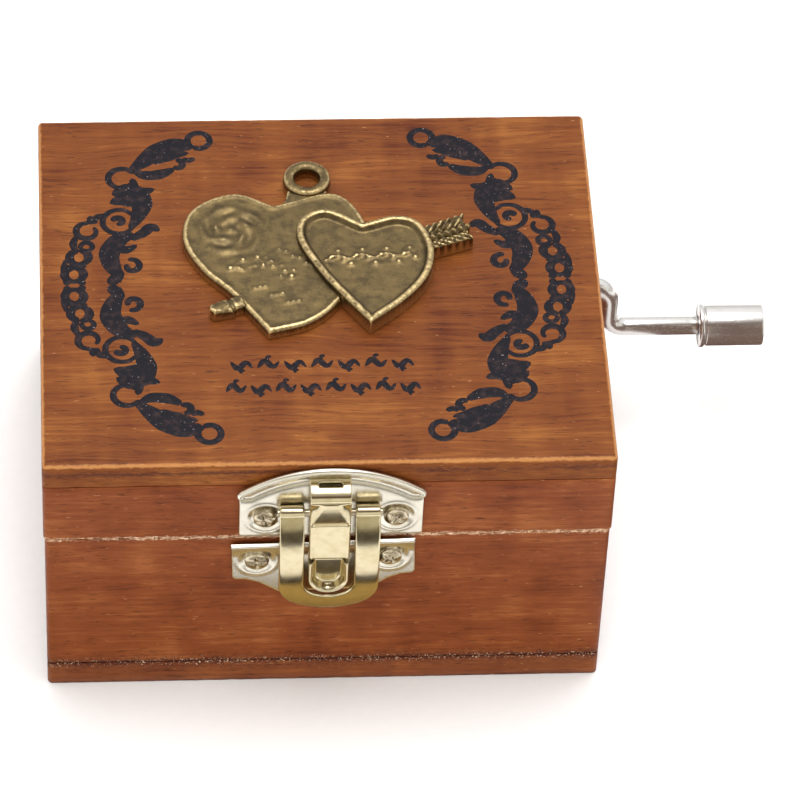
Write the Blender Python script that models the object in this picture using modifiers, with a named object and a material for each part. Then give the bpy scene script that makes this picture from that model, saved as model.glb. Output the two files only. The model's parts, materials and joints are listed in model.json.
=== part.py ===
"""Hand crank music box: a wooden box with a hinged lid, a brass latch and a comb-and-drum movement.

Frame: the origin is the centre of the underside, +X points to the crank, -Y to the latch, +Z up.
All sizes are in metres.
"""

import math

import bmesh
import bpy
from mathutils import Matrix, Vector

MM = 0.001

# Box: the overall sizes are the lid's, and the base is set in a little on every side.
LID_WIDTH = 64.0 * MM
LID_DEPTH = 54.0 * MM
TOTAL_HEIGHT = 38.0 * MM
LID_HEIGHT = 12.4 * MM
BASE_INSET = 0.15 * MM
WALL = 4.5 * MM
BOTTOM_BOARD = 3.6 * MM
LID_BOARD = 3.4 * MM
CORNER_ROUND = 0.8 * MM
EDGE_ROUND = 0.6 * MM

# Clearances.
BOARD_GAP = 0.1 * MM
SEAM_GAP = 0.2 * MM
SHEET_GAP = 0.1 * MM
BORE_GAP = 0.1 * MM
END_GAP = 0.4 * MM

# Sheet metal and fasteners.
SHEET = 0.5 * MM
SCREW_SHANK = 0.65 * MM
SCREW_HEAD = 1.4 * MM
SCREW_HEAD_HEIGHT = 0.75 * MM
LATCH_SCREW_LENGTH = 4.0 * MM
HINGE_SCREW_LENGTH = 3.6 * MM
SCREW_SIDES = 12

# Movement.
BED_THICKNESS = 1.9 * MM
BED_BACK_GAP = 2.0 * MM
BED_LEFT_OF_DRUM = 28.0 * MM
BED_RIGHT_OF_DRUM = 10.0 * MM
BED_FRONT_MARGIN = 2.9 * MM
BED_BACK_MARGIN = 2.15 * MM
BED_CORNER = 2.0 * MM
BEARING_THICKNESS = 1.2 * MM
BEARING_HALF_WIDTH = 3.2 * MM
BEARING_HEAD = 2.3 * MM
DRUM_TO_WALL = 19.35 * MM
DRUM_RADIUS = 5.9 * MM
DRUM_WALL = 0.7 * MM
DRUM_HEAD_THICKNESS = 1.2 * MM
DRUM_UNDER_GAP = 0.6 * MM
DRUM_SIDE_GAP = 0.6 * MM
DRUM_END_MARGIN = 1.0 * MM
AXLE_RADIUS = 0.9 * MM
PIN_HEIGHT = 0.45 * MM
PIN_RADIUS = 0.24 * MM
PINS_PER_LANE = 4
MODULE = 0.45 * MM
WHEEL_TEETH = 24
WHEEL_THICKNESS = 2.2 * MM
WHEEL_TO_DRUM = 1.1 * MM
WHEEL_TO_BEARING = 0.5 * MM
WORM_TO_DRUM = 0.2 * MM
WORM_PITCH_RADIUS = 2.15 * MM
WORM_LENGTH = 7.0 * MM
TOOTH_SHARE = 0.4
TOOTH_ABOVE_PITCH = 0.9 * MODULE
TOOTH_BELOW_PITCH = 1.1 * MODULE
COMB_TEETH = 18
COMB_PITCH = 1.15 * MM
COMB_TOOTH = 0.85 * MM
COMB_THICKNESS = 1.0 * MM
COMB_TO_PINS = 0.15 * MM
COMB_LENGTH = 20.1 * MM
COMB_FRONT_TOOTH = 14.0 * MM
COMB_REAR_TOOTH = 8.5 * MM
COMB_SCREW_SPREAD = 12.0 * MM
COMB_SCREW_INSET = 2.4 * MM
BLOCK_MARGIN = 0.4 * MM

# Crank.
WIRE_RADIUS = 1.12 * MM
CRANK_RADIUS = 7.16 * MM
BEND_RADIUS = 2.3 * MM
ARM_FROM_WALL = 3.65 * MM
KNOB_FROM_ARM = 11.0 * MM
KNOB_LENGTH = 7.7 * MM
KNOB_RADIUS = 2.35 * MM
FLANGE_RADIUS = 2.65 * MM
FLANGE_LENGTH = 0.7 * MM
KNOB_END_WALL = 1.3 * MM
SHAFT_HOLE_GAP = 0.55 * MM
BEARING_TO_PINS = 1.05 * MM
SHAFT_PAST_BEARING = 2.0 * MM
COLLAR_LENGTH = 1.0 * MM
COLLAR_RADIUS = 2.2 * MM

# Hinges at the back.
HINGE_X = 18.0 * MM
HINGE_HALF_WIDTH = 6.0 * MM
HINGE_LEAF = 7.0 * MM
KNUCKLE_RADIUS = 1.15 * MM
KNUCKLE_HALF = 1.95 * MM
KNUCKLE_GAP = 0.15 * MM
KNUCKLE_INSET = 0.05 * MM
HINGE_PIN_RADIUS = 0.55 * MM
HINGE_SCREW_X = 3.8 * MM
HINGE_SCREW_Z = 4.5 * MM
LID_OPEN = math.radians(105)
HEEL_LENGTH = 2.8 * MM

# Latch at the front. Heights are from the seam, and the x places are from the middle of the front.
LID_PLATE_X = 0.2 * MM
LID_PLATE_HALF = 10.3 * MM
LID_PLATE_FOOT = 0.8 * MM
LID_PLATE_SHOULDER = 8.5 * MM
LID_PLATE_ARCH = 3.1 * MM
BEAD_RADIUS = 0.42 * MM
LATCH_PIN_RADIUS = 0.45 * MM
LATCH_PIN_HEIGHT = 5.9 * MM
CURL_RADIUS = 0.92 * MM
STRAP_HALF = 2.3 * MM
STRAP_HUMP = 3.1 * MM
STRAP_FACE = 2.6 * MM
STRAP_TOP = 10.3 * MM
STRAP_FOOT = -1.0 * MM
TONGUE_HALF = 5.65 * MM
TONGUE_SLOT_HALF = 2.85 * MM
TONGUE_SLOT_FOOT = -7.4 * MM
TONGUE_FOOT = -10.5 * MM
TONGUE_END_OUT = 1.35 * MM
TONGUE_BULGE = 1.3 * MM
BASE_PLATE_X = -0.5 * MM
BASE_PLATE_HALF = 10.35 * MM
BASE_PLATE_HEIGHT = 3.5 * MM
BASE_PLATE_SIDE = 3.0 * MM
BASE_PLATE_LOBE = 5.2 * MM
BASE_PLATE_LOBE_DROP = 5.6 * MM
BASE_PLATE_SKEW = math.radians(1.8)
LIP_OUT = 0.7 * MM
CATCH_HALF = 2.25 * MM
CATCH_TOP = -2.0 * MM
CATCH_FOOT = -6.95 * MM
CATCH_OUT = 2.0 * MM
CATCH_WALL = 0.45 * MM
LID_SCREW_X = 7.3 * MM
LID_SCREW_HEIGHT = 3.9 * MM
BASE_SCREW_X = 7.5 * MM
BASE_SCREW_DEPTH = 3.3 * MM

# Charm glued on the lid.
CHARM_THICKNESS = 1.4 * MM
SMALL_HEART_THICKNESS = 2.2 * MM
SMALL_HEART_RECESS = 0.6 * MM
RING_THICKNESS = 1.6 * MM
ARROW_THICKNESS = 1.5 * MM
ARROW_HALF = 0.95 * MM
RING_RADIUS = 2.75 * MM
RING_HOLE = 1.45 * MM

# Places that follow from the sizes above.
HALF_WIDTH = LID_WIDTH / 2
HALF_DEPTH = LID_DEPTH / 2
BASE_X = HALF_WIDTH - BASE_INSET
BASE_Y = HALF_DEPTH - BASE_INSET
INNER_X = BASE_X - WALL
INNER_Y = BASE_Y - WALL
SEAM_Z = TOTAL_HEIGHT - LID_HEIGHT
BASE_TOP = SEAM_Z - SEAM_GAP / 2
LID_FOOT = SEAM_Z + SEAM_GAP / 2
LID_BOARD_Z = TOTAL_HEIGHT - LID_BOARD

BED_FOOT = BOTTOM_BOARD + BOARD_GAP
BED_TOP = BED_FOOT + BED_THICKNESS
BED_BACK = INNER_Y - BED_BACK_GAP
DRUM_X = INNER_X - DRUM_TO_WALL
DRUM_Z = BED_TOP + DRUM_UNDER_GAP + DRUM_RADIUS + PIN_HEIGHT
WHEEL_PITCH_RADIUS = MODULE * WHEEL_TEETH / 2
WORM_LEAD = math.pi * MODULE
REAR_BEARING_Y = BED_BACK - BED_BACK_MARGIN
CRANK_Y = REAR_BEARING_Y - BEARING_THICKNESS / 2 - WHEEL_TO_BEARING - WHEEL_THICKNESS / 2
CRANK_Z = DRUM_Z + WHEEL_PITCH_RADIUS + WORM_PITCH_RADIUS
COMB_WIDTH = COMB_TEETH * COMB_PITCH
WORM_RADIUS = WORM_PITCH_RADIUS + TOOTH_ABOVE_PITCH
WORM_OVER_DRUM = CRANK_Z - DRUM_Z - DRUM_RADIUS
WORM_HALF_AT_DRUM = math.sqrt(max(0, WORM_RADIUS**2 - WORM_OVER_DRUM**2))
# The drum ends clear of both the wheel beside it and the worm, which reaches down past its top.
DRUM_BACK = CRANK_Y - max(WHEEL_THICKNESS / 2 + WHEEL_TO_DRUM, WORM_HALF_AT_DRUM + WORM_TO_DRUM)
DRUM_FRONT = DRUM_BACK - COMB_WIDTH - 2 * DRUM_END_MARGIN
FRONT_BEARING_Y = DRUM_FRONT - DRUM_SIDE_GAP - BEARING_THICKNESS / 2
BED_FRONT = FRONT_BEARING_Y - BED_FRONT_MARGIN
COMB_FRONT = DRUM_FRONT + DRUM_END_MARGIN
COMB_BACK = COMB_FRONT + COMB_WIDTH
COMB_TIP_X = DRUM_X - DRUM_RADIUS - PIN_HEIGHT - COMB_TO_PINS
COMB_Z = DRUM_Z

ARM_X = BASE_X + ARM_FROM_WALL
HANDLE_Z = CRANK_Z - CRANK_RADIUS
KNOB_X = ARM_X + KNOB_FROM_ARM
SHAFT_BORE = WIRE_RADIUS + BORE_GAP
CRANK_BEARING_SPREAD = DRUM_RADIUS + PIN_HEIGHT + BEARING_TO_PINS + BEARING_THICKNESS / 2
INNER_BEARING_X = DRUM_X - CRANK_BEARING_SPREAD
OUTER_BEARING_X = DRUM_X + CRANK_BEARING_SPREAD
SHAFT_END_X = INNER_BEARING_X - SHAFT_PAST_BEARING

HINGE_Y = HALF_DEPTH + SHEET_GAP + KNUCKLE_INSET + KNUCKLE_RADIUS
LATCH_PIN_OUT = SHEET_GAP + SHEET + SHEET_GAP + CURL_RADIUS
LATCH_PIN_Y = -HALF_DEPTH - LATCH_PIN_OUT
LATCH_PIN_Z = SEAM_Z + LATCH_PIN_HEIGHT

# Turns that lay a shape drawn in XY, or turned about Z, along the world's other planes and axes.
FLAT = (0, 0, 0)
FACING_FRONT = (math.pi / 2, 0, 0)
FACING_SIDE = (math.pi / 2, 0, math.pi / 2)
ALONG_X = (0, math.pi / 2, 0)
ALONG_Y = (-math.pi / 2, 0, 0)
HEAD_FRONT = (math.pi / 2, 0, 0)
HEAD_BACK = (-math.pi / 2, 0, 0)
HEAD_UP = (0, 0, 0)
HEAD_DOWN = (math.pi, 0, 0)


def clear_scene():
    for obj in list(bpy.data.objects):
        bpy.data.objects.remove(obj, do_unlink=True)


def new_collection(name, helper=False):
    collection = bpy.data.collections.new(name)
    bpy.context.scene.collection.children.link(collection)
    collection.hide_render = helper
    return collection


def material(name, colour, roughness, metallic=0.0):
    made = bpy.data.materials.new(name)
    made.use_nodes = True
    shader = made.node_tree.nodes["Principled BSDF"]
    shader.inputs["Base Color"].default_value = (*colour, 1)
    shader.inputs["Roughness"].default_value = roughness
    shader.inputs["Metallic"].default_value = metallic
    return made


clear_scene()
PARTS = new_collection("hand_crank_music_box")
CUTTERS = new_collection("cutters", helper=True)

BOX_WOOD = material("box_wood", (0.36, 0.12, 0.04), 0.5)
CHARM_BRONZE = material("charm_bronze", (0.22, 0.16, 0.08), 0.42, 1)
LATCH_BRASS = material("latch_brass", (0.83, 0.73, 0.45), 0.14, 1)
HINGE_BRASS = material("hinge_brass", (0.80, 0.66, 0.36), 0.22, 1)
SCREW_PLATE = material("screw_plate", (0.74, 0.66, 0.47), 0.22, 1)
CRANK_NICKEL = material("crank_nickel", (0.72, 0.71, 0.69), 0.16, 1)
BED_ZINC = material("bed_zinc", (0.62, 0.60, 0.55), 0.38, 1)
COMB_STEEL = material("comb_steel", (0.58, 0.58, 0.59), 0.28, 1)
DRUM_BRASS = material("drum_brass", (0.80, 0.62, 0.29), 0.24, 1)
WORM_STEEL = material("worm_steel", (0.55, 0.55, 0.56), 0.24, 1)
WHEEL_PLASTIC = material("wheel_plastic", (0.80, 0.79, 0.74), 0.45)


def place(name, mesh, finish, location=(0, 0, 0), rotation=FLAT):
    """An object in the parts' collection, with its finish."""
    obj = bpy.data.objects.new(name, mesh)
    obj.location = location
    obj.rotation_euler = rotation
    PARTS.objects.link(obj)
    if not mesh.materials:
        mesh.materials.append(finish)
    return obj


def as_cutter(obj):
    """Moves an object to the helpers' collection."""
    for collection in list(obj.users_collection):
        collection.objects.unlink(obj)
    CUTTERS.objects.link(obj)
    obj.hide_render = True
    obj.display_type = "WIRE"
    return obj


def boolean(piece, operation, *others):
    for other in others:
        modifier = piece.modifiers.new(f"{operation.lower()}_{other.name}", "BOOLEAN")
        modifier.operation = operation
        modifier.object = as_cutter(other)
    return piece


def baked(piece):
    """Turns a piece's modifiers, or a curve, into its mesh, and welds the mesh."""
    bpy.context.view_layer.update()
    graph = bpy.context.evaluated_depsgraph_get()
    mesh = bpy.data.meshes.new_from_object(piece.evaluated_get(graph))
    shape = bmesh.new()
    shape.from_mesh(mesh)
    bmesh.ops.remove_doubles(shape, verts=shape.verts, dist=0.0005 * MM)
    bmesh.ops.dissolve_degenerate(shape, edges=shape.edges, dist=0.0005 * MM)
    shape.to_mesh(mesh)
    shape.free()
    name, matrix = piece.name, piece.matrix_world.copy()
    homes = list(piece.users_collection)
    bpy.data.objects.remove(piece, do_unlink=True)
    solid = bpy.data.objects.new(name, mesh)
    solid.matrix_world = matrix
    for home in homes:
        home.objects.link(solid)
    return solid


def smooth(piece, angle=35):
    piece.data.shade_smooth()
    piece.data.set_sharp_from_angle(angle=math.radians(angle))
    return piece


def box(name, low, high, finish=BOX_WOOD):
    """A box between two corners, with its origin in its middle."""
    low, high = Vector(low), Vector(high)
    shape = bmesh.new()
    bmesh.ops.create_cube(shape, size=1)
    bmesh.ops.scale(shape, vec=high - low, verts=shape.verts)
    mesh = bpy.data.meshes.new(name)
    shape.to_mesh(mesh)
    shape.free()
    return place(name, mesh, finish, (low + high) / 2)


def rounded_box(name, low, high, picks, radius, finish=BOX_WOOD, segments=3):
    """A box whose edges that lie on two of the picked sides are rounded.

    A side is an axis number and a sign, such as (1, -1) for the front.
    """
    piece = box(name, low, high, finish)
    half = (Vector(high) - Vector(low)) / 2
    shape = bmesh.new()
    shape.from_mesh(piece.data)

    def sides_of(edge):
        middle = (edge.verts[0].co + edge.verts[1].co) / 2
        return sum(abs(middle[axis] - sign * half[axis]) < 0.001 * MM for axis, sign in picks)

    edges = [edge for edge in shape.edges if sides_of(edge) == 2]
    bmesh.ops.bevel(shape, geom=edges, offset=radius, segments=segments, profile=0.5, affect="EDGES")
    shape.to_mesh(piece.data)
    shape.free()
    return smooth(piece)


def rod(name, radius, length, centre, axis=FLAT, sides=20, finish=LATCH_BRASS):
    """A plain round bar about a centre."""
    shape = bmesh.new()
    bmesh.ops.create_cone(
        shape, cap_ends=True, segments=sides, radius1=radius, radius2=radius, depth=length
    )
    mesh = bpy.data.meshes.new(name)
    shape.to_mesh(mesh)
    shape.free()
    return smooth(place(name, mesh, finish, centre, axis))


def turned(name, profile, finish, location=(0, 0, 0), axis=FLAT, bored=False, steps=20):
    """A turned piece: its (radius, height) profile runs down the outer side, top to bottom."""
    points = [(radius, 0, height) for radius, height in profile]
    count = len(points)
    edges = [(i, (i + 1) % count) for i in range(count if bored else count - 1)]
    mesh = bpy.data.meshes.new(name)
    mesh.from_pydata(points, edges, [])
    piece = place(name, mesh, finish, location, axis)
    screw = piece.modifiers.new("turn", "SCREW")
    screw.axis = "Z"
    screw.steps = screw.render_steps = steps
    screw.use_merge_vertices = True
    screw.merge_threshold = 0.001 * MM
    return smooth(baked(piece))


def sleeve(name, outer, inner, length, finish, centre, axis, steps=24):
    """A tube with square ends."""
    half = length / 2
    profile = [(outer, half), (outer, -half), (inner, -half), (inner, half)]
    return turned(name, profile, finish, centre, axis, bored=True, steps=steps)


def arc(centre, radius, start, end, steps):
    """Points of an arc from one angle to another, in degrees."""
    angles = [math.radians(start + (end - start) * i / steps) for i in range(steps + 1)]
    return [(centre[0] + radius * math.cos(a), centre[1] + radius * math.sin(a)) for a in angles]


def prism(name, outline, thickness, finish, centre=(0, 0, 0), plane=FLAT, holes=()):
    """A flat outline with holes, thickened about its own plane."""
    curve = bpy.data.curves.new(name, "CURVE")
    curve.dimensions = "2D"
    curve.fill_mode = "BOTH"
    curve.extrude = thickness / 2
    for loop in (outline, *holes):
        spline = curve.splines.new("POLY")
        spline.points.add(len(loop) - 1)
        for point, (x, y) in zip(spline.points, loop):
            point.co = (x, y, 0, 1)
        spline.use_cyclic_u = True
    return smooth(baked(place(name, curve, finish, centre, plane)))


def smooth_outline(name, points, corners, thickness, finish, centre, detail=5):
    """A flat piece with a smooth outline through its points, sharp at the numbered corners."""
    curve = bpy.data.curves.new(name, "CURVE")
    curve.dimensions = "2D"
    curve.fill_mode = "BOTH"
    curve.extrude = thickness / 2
    curve.resolution_u = detail
    spline = curve.splines.new("BEZIER")
    spline.bezier_points.add(len(points) - 1)
    for number, (point, (x, y)) in enumerate(zip(spline.bezier_points, points)):
        point.co = (x * MM, y * MM, 0)
        kind = "FREE" if number in corners else "AUTO"
        point.handle_left_type = point.handle_right_type = kind
        if number in corners:
            here, back, ahead = (
                Vector(points[(number + step) % len(points)]) * MM for step in (0, -1, 1)
            )
            point.handle_left = (*(here + (back - here) / 3), 0)
            point.handle_right = (*(here + (ahead - here) / 3), 0)
    spline.use_cyclic_u = True
    return smooth(baked(place(name, curve, finish, centre)))


def fillet_path(corners, radius, steps=6):
    """A path through corner points whose inner corners are rounded with one radius."""
    path = [Vector(corners[0])]
    for before, corner, after in zip(corners, corners[1:], corners[2:]):
        corner = Vector(corner)
        to_start = (Vector(before) - corner).normalized()
        to_end = (Vector(after) - corner).normalized()
        half = to_start.angle(to_end) / 2
        middle = corner + (to_start + to_end).normalized() * radius / math.sin(half)
        start = corner + to_start * radius / math.tan(half) - middle
        end = corner + to_end * radius / math.tan(half) - middle
        swing = start.angle(end)
        for i in range(steps + 1):
            share = i / steps
            point = start * math.sin((1 - share) * swing) + end * math.sin(share * swing)
            path.append(middle + point / math.sin(swing))
    path.append(Vector(corners[-1]))
    return path


def wire(name, path, radius, finish, sides=3):
    """A round wire with closed ends along a path of points."""
    curve = bpy.data.curves.new(name, "CURVE")
    curve.dimensions = "3D"
    curve.bevel_depth = radius
    curve.bevel_resolution = sides
    curve.use_fill_caps = True
    spline = curve.splines.new("POLY")
    spline.points.add(len(path) - 1)
    for point, place_ in zip(spline.points, path):
        point.co = (*place_, 1)
    return smooth(baked(place(name, curve, finish)))


def screw_mesh(name, head, head_height, shank, length):
    """A cross-head screw: the underside of its head is at height 0, and its shank points down."""
    profile = [
        (0, head_height),
        (0.74 * head, 0.78 * head_height),
        (head, 0.15 * head_height),
        (0.94 * head, 0),
        (shank, 0),
        (shank, 1.2 * shank - length),
        (0, -length),
    ]
    piece = turned(name, profile, SCREW_PLATE, steps=SCREW_SIDES)
    arm, slot, depth = 0.62 * head, 0.16 * head, 0.5 * head_height
    low = head_height - depth
    along = box("slot_along", (-arm, -slot, low), (arm, slot, 2 * head_height))
    across = box("slot_across", (-slot, -arm, low), (slot, arm, 2 * head_height))
    piece = baked(boolean(piece, "DIFFERENCE", along, across))
    smooth(piece)
    mesh = piece.data
    bpy.data.objects.remove(piece, do_unlink=True)
    for cutter in (along, across):
        bpy.data.objects.remove(cutter, do_unlink=True)
    return mesh


def fasten(name, mesh, shank, length, seat, facing, *held):
    """Places a screw with its head's underside at a seat, and drills every piece that it holds."""
    screw = place(name, mesh, SCREW_PLATE, seat, facing)
    turn = screw.rotation_euler.to_matrix()
    start, end = 0.3 * MM, -length - END_GAP
    middle = Vector(seat) + turn @ Vector((0, 0, (start + end) / 2))
    for piece in held:
        drill = rod(
            f"drill_{name}_{piece.name}", shank + BORE_GAP, start - end, middle, facing, SCREW_SIDES
        )
        boolean(piece, "DIFFERENCE", drill)
    return screw


def pivot(name, location, *pieces):
    """An empty on a joint's axis, which carries the pieces that turn about it."""
    axis = bpy.data.objects.new(name, None)
    axis.location = location
    axis.empty_display_size = 3 * MM
    PARTS.objects.link(axis)
    bpy.context.view_layer.update()
    for piece in pieces:
        piece.parent = axis
        piece.matrix_parent_inverse = axis.matrix_world.inverted()
    return axis


# ---------------------------------------------------------------- wooden boards


def make_base():
    front, back, left, right = (1, -1), (1, 1), (0, -1), (0, 1)
    foot = BOTTOM_BOARD + BOARD_GAP
    side_y = BASE_Y - WALL - BOARD_GAP
    return {
        "bottom": rounded_box(
            "bottom_board",
            (-BASE_X, -BASE_Y, 0),
            (BASE_X, BASE_Y, BOTTOM_BOARD),
            (front, back, left, right),
            CORNER_ROUND,
        ),
        "front": rounded_box(
            "base_front_board",
            (-BASE_X, -BASE_Y, foot),
            (BASE_X, -INNER_Y, BASE_TOP),
            (front, left, right),
            CORNER_ROUND,
        ),
        "back": rounded_box(
            "base_back_board",
            (-BASE_X, INNER_Y, foot),
            (BASE_X, BASE_Y, BASE_TOP),
            (back, left, right),
            CORNER_ROUND,
        ),
        "left": box("base_left_board", (-BASE_X, -side_y, foot), (-INNER_X, side_y, BASE_TOP)),
        "right": box("base_right_board", (INNER_X, -side_y, foot), (BASE_X, side_y, BASE_TOP)),
    }


def make_lid():
    front, back, left, right, top = (1, -1), (1, 1), (0, -1), (0, 1), (2, 1)
    ceiling = LID_BOARD_Z - BOARD_GAP
    inner_x, inner_y = HALF_WIDTH - WALL, HALF_DEPTH - WALL
    side_y = inner_y - BOARD_GAP
    return {
        "top": rounded_box(
            "lid_top_board",
            (-HALF_WIDTH, -HALF_DEPTH, LID_BOARD_Z),
            (HALF_WIDTH, HALF_DEPTH, TOTAL_HEIGHT),
            (front, back, left, right, top),
            EDGE_ROUND,
        ),
        "front": rounded_box(
            "lid_front_rail",
            (-HALF_WIDTH, -HALF_DEPTH, LID_FOOT),
            (HALF_WIDTH, -inner_y, ceiling),
            (front, left, right),
            EDGE_ROUND,
        ),
        "back": rounded_box(
            "lid_back_rail",
            (-HALF_WIDTH, inner_y, LID_FOOT),
            (HALF_WIDTH, HALF_DEPTH, ceiling),
            (back, left, right),
            EDGE_ROUND,
        ),
        "left": box("lid_left_rail", (-HALF_WIDTH, -side_y, LID_FOOT), (-inner_x, side_y, ceiling)),
        "right": box("lid_right_rail", (inner_x, -side_y, LID_FOOT), (HALF_WIDTH, side_y, ceiling)),
    }


# ---------------------------------------------------------------- hinges


def hinge_leaf(name, x, up, knuckles, others):
    """A leaf on the back, with its knuckles round the pin and notches for the other leaf's."""
    leaf_y = HALF_DEPTH + SHEET_GAP
    foot, top = sorted((SEAM_Z, SEAM_Z + up * HINGE_LEAF))
    leaf = box(
        name,
        (x - HINGE_HALF_WIDTH, leaf_y, foot),
        (x + HINGE_HALF_WIDTH, leaf_y + SHEET, top),
        HINGE_BRASS,
    )
    reach = KNUCKLE_RADIUS + 2 * KNUCKLE_GAP
    for number, (start, end) in enumerate(others):
        notch = box(
            f"notch_{name}_{number}",
            (x + start - KNUCKLE_GAP, leaf_y - reach, SEAM_Z - reach),
            (x + end + KNUCKLE_GAP, leaf_y + reach, SEAM_Z + reach),
        )
        boolean(leaf, "DIFFERENCE", notch)
    for number, (start, end) in enumerate(knuckles):
        middle = (x + (start + end) / 2, HINGE_Y, SEAM_Z)
        length = end - start - 2 * KNUCKLE_INSET
        barrel = rod(f"barrel_{name}_{number}", KNUCKLE_RADIUS, length, middle, ALONG_X, 20)
        boolean(leaf, "UNION", barrel)
    return leaf


def stop_heel(leaf, x):
    """The lid leaf's heel, which meets the base leaf's face when the lid is fully open."""
    face = HALF_DEPTH + SHEET_GAP + SHEET + SHEET_GAP
    heel = box(
        f"heel_{leaf.name}",
        (x - KNUCKLE_HALF, face, SEAM_Z - HEEL_LENGTH),
        (x + KNUCKLE_HALF, face + SHEET, SEAM_Z - KNUCKLE_RADIUS / 2),
        HINGE_BRASS,
    )
    axis = Matrix.Translation((x, HINGE_Y, SEAM_Z))
    bpy.context.view_layer.update()
    heel.matrix_world = axis @ Matrix.Rotation(LID_OPEN, 4, "X") @ axis.inverted() @ heel.matrix_world
    boolean(leaf, "UNION", heel)


def make_hinges(base_back, lid_back):
    base_pieces, lid_pieces = [], []
    screw = screw_mesh(
        "hinge_screw", SCREW_HEAD, SCREW_HEAD_HEIGHT, SCREW_SHANK, HINGE_SCREW_LENGTH
    )
    inside = KNUCKLE_HALF + KNUCKLE_GAP
    middle_knuckle = [(-KNUCKLE_HALF, KNUCKLE_HALF)]
    end_knuckles = [(-HINGE_HALF_WIDTH, -inside), (inside, HINGE_HALF_WIDTH)]
    seat_y = HALF_DEPTH + SHEET_GAP + SHEET + SHEET_GAP / 2
    for side, x in (("left", -HINGE_X), ("right", HINGE_X)):
        base_leaf = hinge_leaf(f"hinge_{side}_base_leaf", x, -1, end_knuckles, middle_knuckle)
        lid_leaf = hinge_leaf(f"hinge_{side}_lid_leaf", x, 1, middle_knuckle, end_knuckles)
        stop_heel(lid_leaf, x)
        for leaf in (base_leaf, lid_leaf):
            bore = rod(
                f"bore_{leaf.name}",
                HINGE_PIN_RADIUS + BORE_GAP,
                3 * HINGE_HALF_WIDTH,
                (x, HINGE_Y, SEAM_Z),
                ALONG_X,
            )
            boolean(leaf, "DIFFERENCE", bore)
        pin = rod(
            f"hinge_{side}_pin",
            HINGE_PIN_RADIUS,
            2 * HINGE_HALF_WIDTH,
            (x, HINGE_Y, SEAM_Z),
            ALONG_X,
            16,
            HINGE_BRASS,
        )
        base_pieces += [base_leaf, pin]
        lid_pieces.append(lid_leaf)
        for end, offset in (("left", -HINGE_SCREW_X), ("right", HINGE_SCREW_X)):
            for part, up, leaf, board, pieces in (
                ("base", -1, base_leaf, base_back, base_pieces),
                ("lid", 1, lid_leaf, lid_back, lid_pieces),
            ):
                seat = (x + offset, seat_y, SEAM_Z + up * HINGE_SCREW_Z)
                name = f"hinge_{side}_{part}_screw_{end}"
                length = HINGE_SCREW_LENGTH
                pieces.append(fasten(name, screw, SCREW_SHANK, length, seat, HEAD_BACK, leaf, board))
    return base_pieces, lid_pieces


# ---------------------------------------------------------------- latch


def front_profile(name, points, half_width, finish=LATCH_BRASS):
    """A bar along X whose section is given as (distance out from the lid's front, height) points."""
    section = [(-HALF_DEPTH - out, height) for out, height in points]
    return prism(name, section, 2 * half_width, finish, plane=FACING_SIDE)


def make_lid_plate():
    """The arched lid plate, its rolled edge, and the strap that bows over the hinge pin."""
    foot, shoulder = SEAM_Z + LID_PLATE_FOOT, SEAM_Z + LID_PLATE_SHOULDER
    half_chord = LID_PLATE_HALF - 2 * BEAD_RADIUS
    radius = (half_chord**2 + LID_PLATE_ARCH**2) / (2 * LID_PLATE_ARCH)
    centre_z = shoulder + LID_PLATE_ARCH - radius
    reach = math.degrees(math.asin(half_chord / radius))
    arch = arc((LID_PLATE_X, centre_z), radius, 90 - reach, 90 + reach, 14)
    left, right = LID_PLATE_X - LID_PLATE_HALF, LID_PLATE_X + LID_PLATE_HALF
    outline = [(left, foot), (right, foot), (right, shoulder), *arch, (left, shoulder)]
    plate_y = -HALF_DEPTH - SHEET_GAP - SHEET / 2
    plate = prism("latch_lid_plate", outline, SHEET, LATCH_BRASS, (0, plate_y, 0), FACING_FRONT)
    bead_y = plate_y - SHEET / 2
    bead = wire("bead", [(x, bead_y, z) for x, z in arch], BEAD_RADIUS, LATCH_BRASS, 2)

    wall = LATCH_PIN_RADIUS + 3 * BORE_GAP
    pin, pin_z = LATCH_PIN_OUT, LATCH_PIN_Z
    inside = SHEET_GAP + SHEET / 2
    section = [
        (inside, SEAM_Z + STRAP_TOP),
        (inside + 1.0 * MM, SEAM_Z + STRAP_TOP - 0.3 * MM),
        (STRAP_HUMP - 0.4 * MM, pin_z + 2.9 * MM),
        (STRAP_HUMP, pin_z + 2.0 * MM),
        (STRAP_HUMP - 0.15 * MM, pin_z + 1.1 * MM),
        (STRAP_FACE - 0.05 * MM, pin_z - 0.4 * MM),
        (STRAP_FACE, pin_z - 0.9 * MM),
        (STRAP_FACE, SEAM_Z + STRAP_FOOT),
        (STRAP_FACE - SHEET, SEAM_Z + STRAP_FOOT),
        (STRAP_FACE - SHEET, pin_z - wall - 0.3 * MM),
        (pin, pin_z - wall - 0.1 * MM),
        (inside, pin_z - wall),
    ]
    strap = front_profile("strap", section, STRAP_HALF)
    boolean(plate, "UNION", bead, strap)
    bore = rod(
        "strap_bore",
        LATCH_PIN_RADIUS + BORE_GAP,
        2 * LID_PLATE_HALF,
        (0, LATCH_PIN_Y, LATCH_PIN_Z),
        ALONG_X,
    )
    return boolean(plate, "DIFFERENCE", bore)


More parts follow.
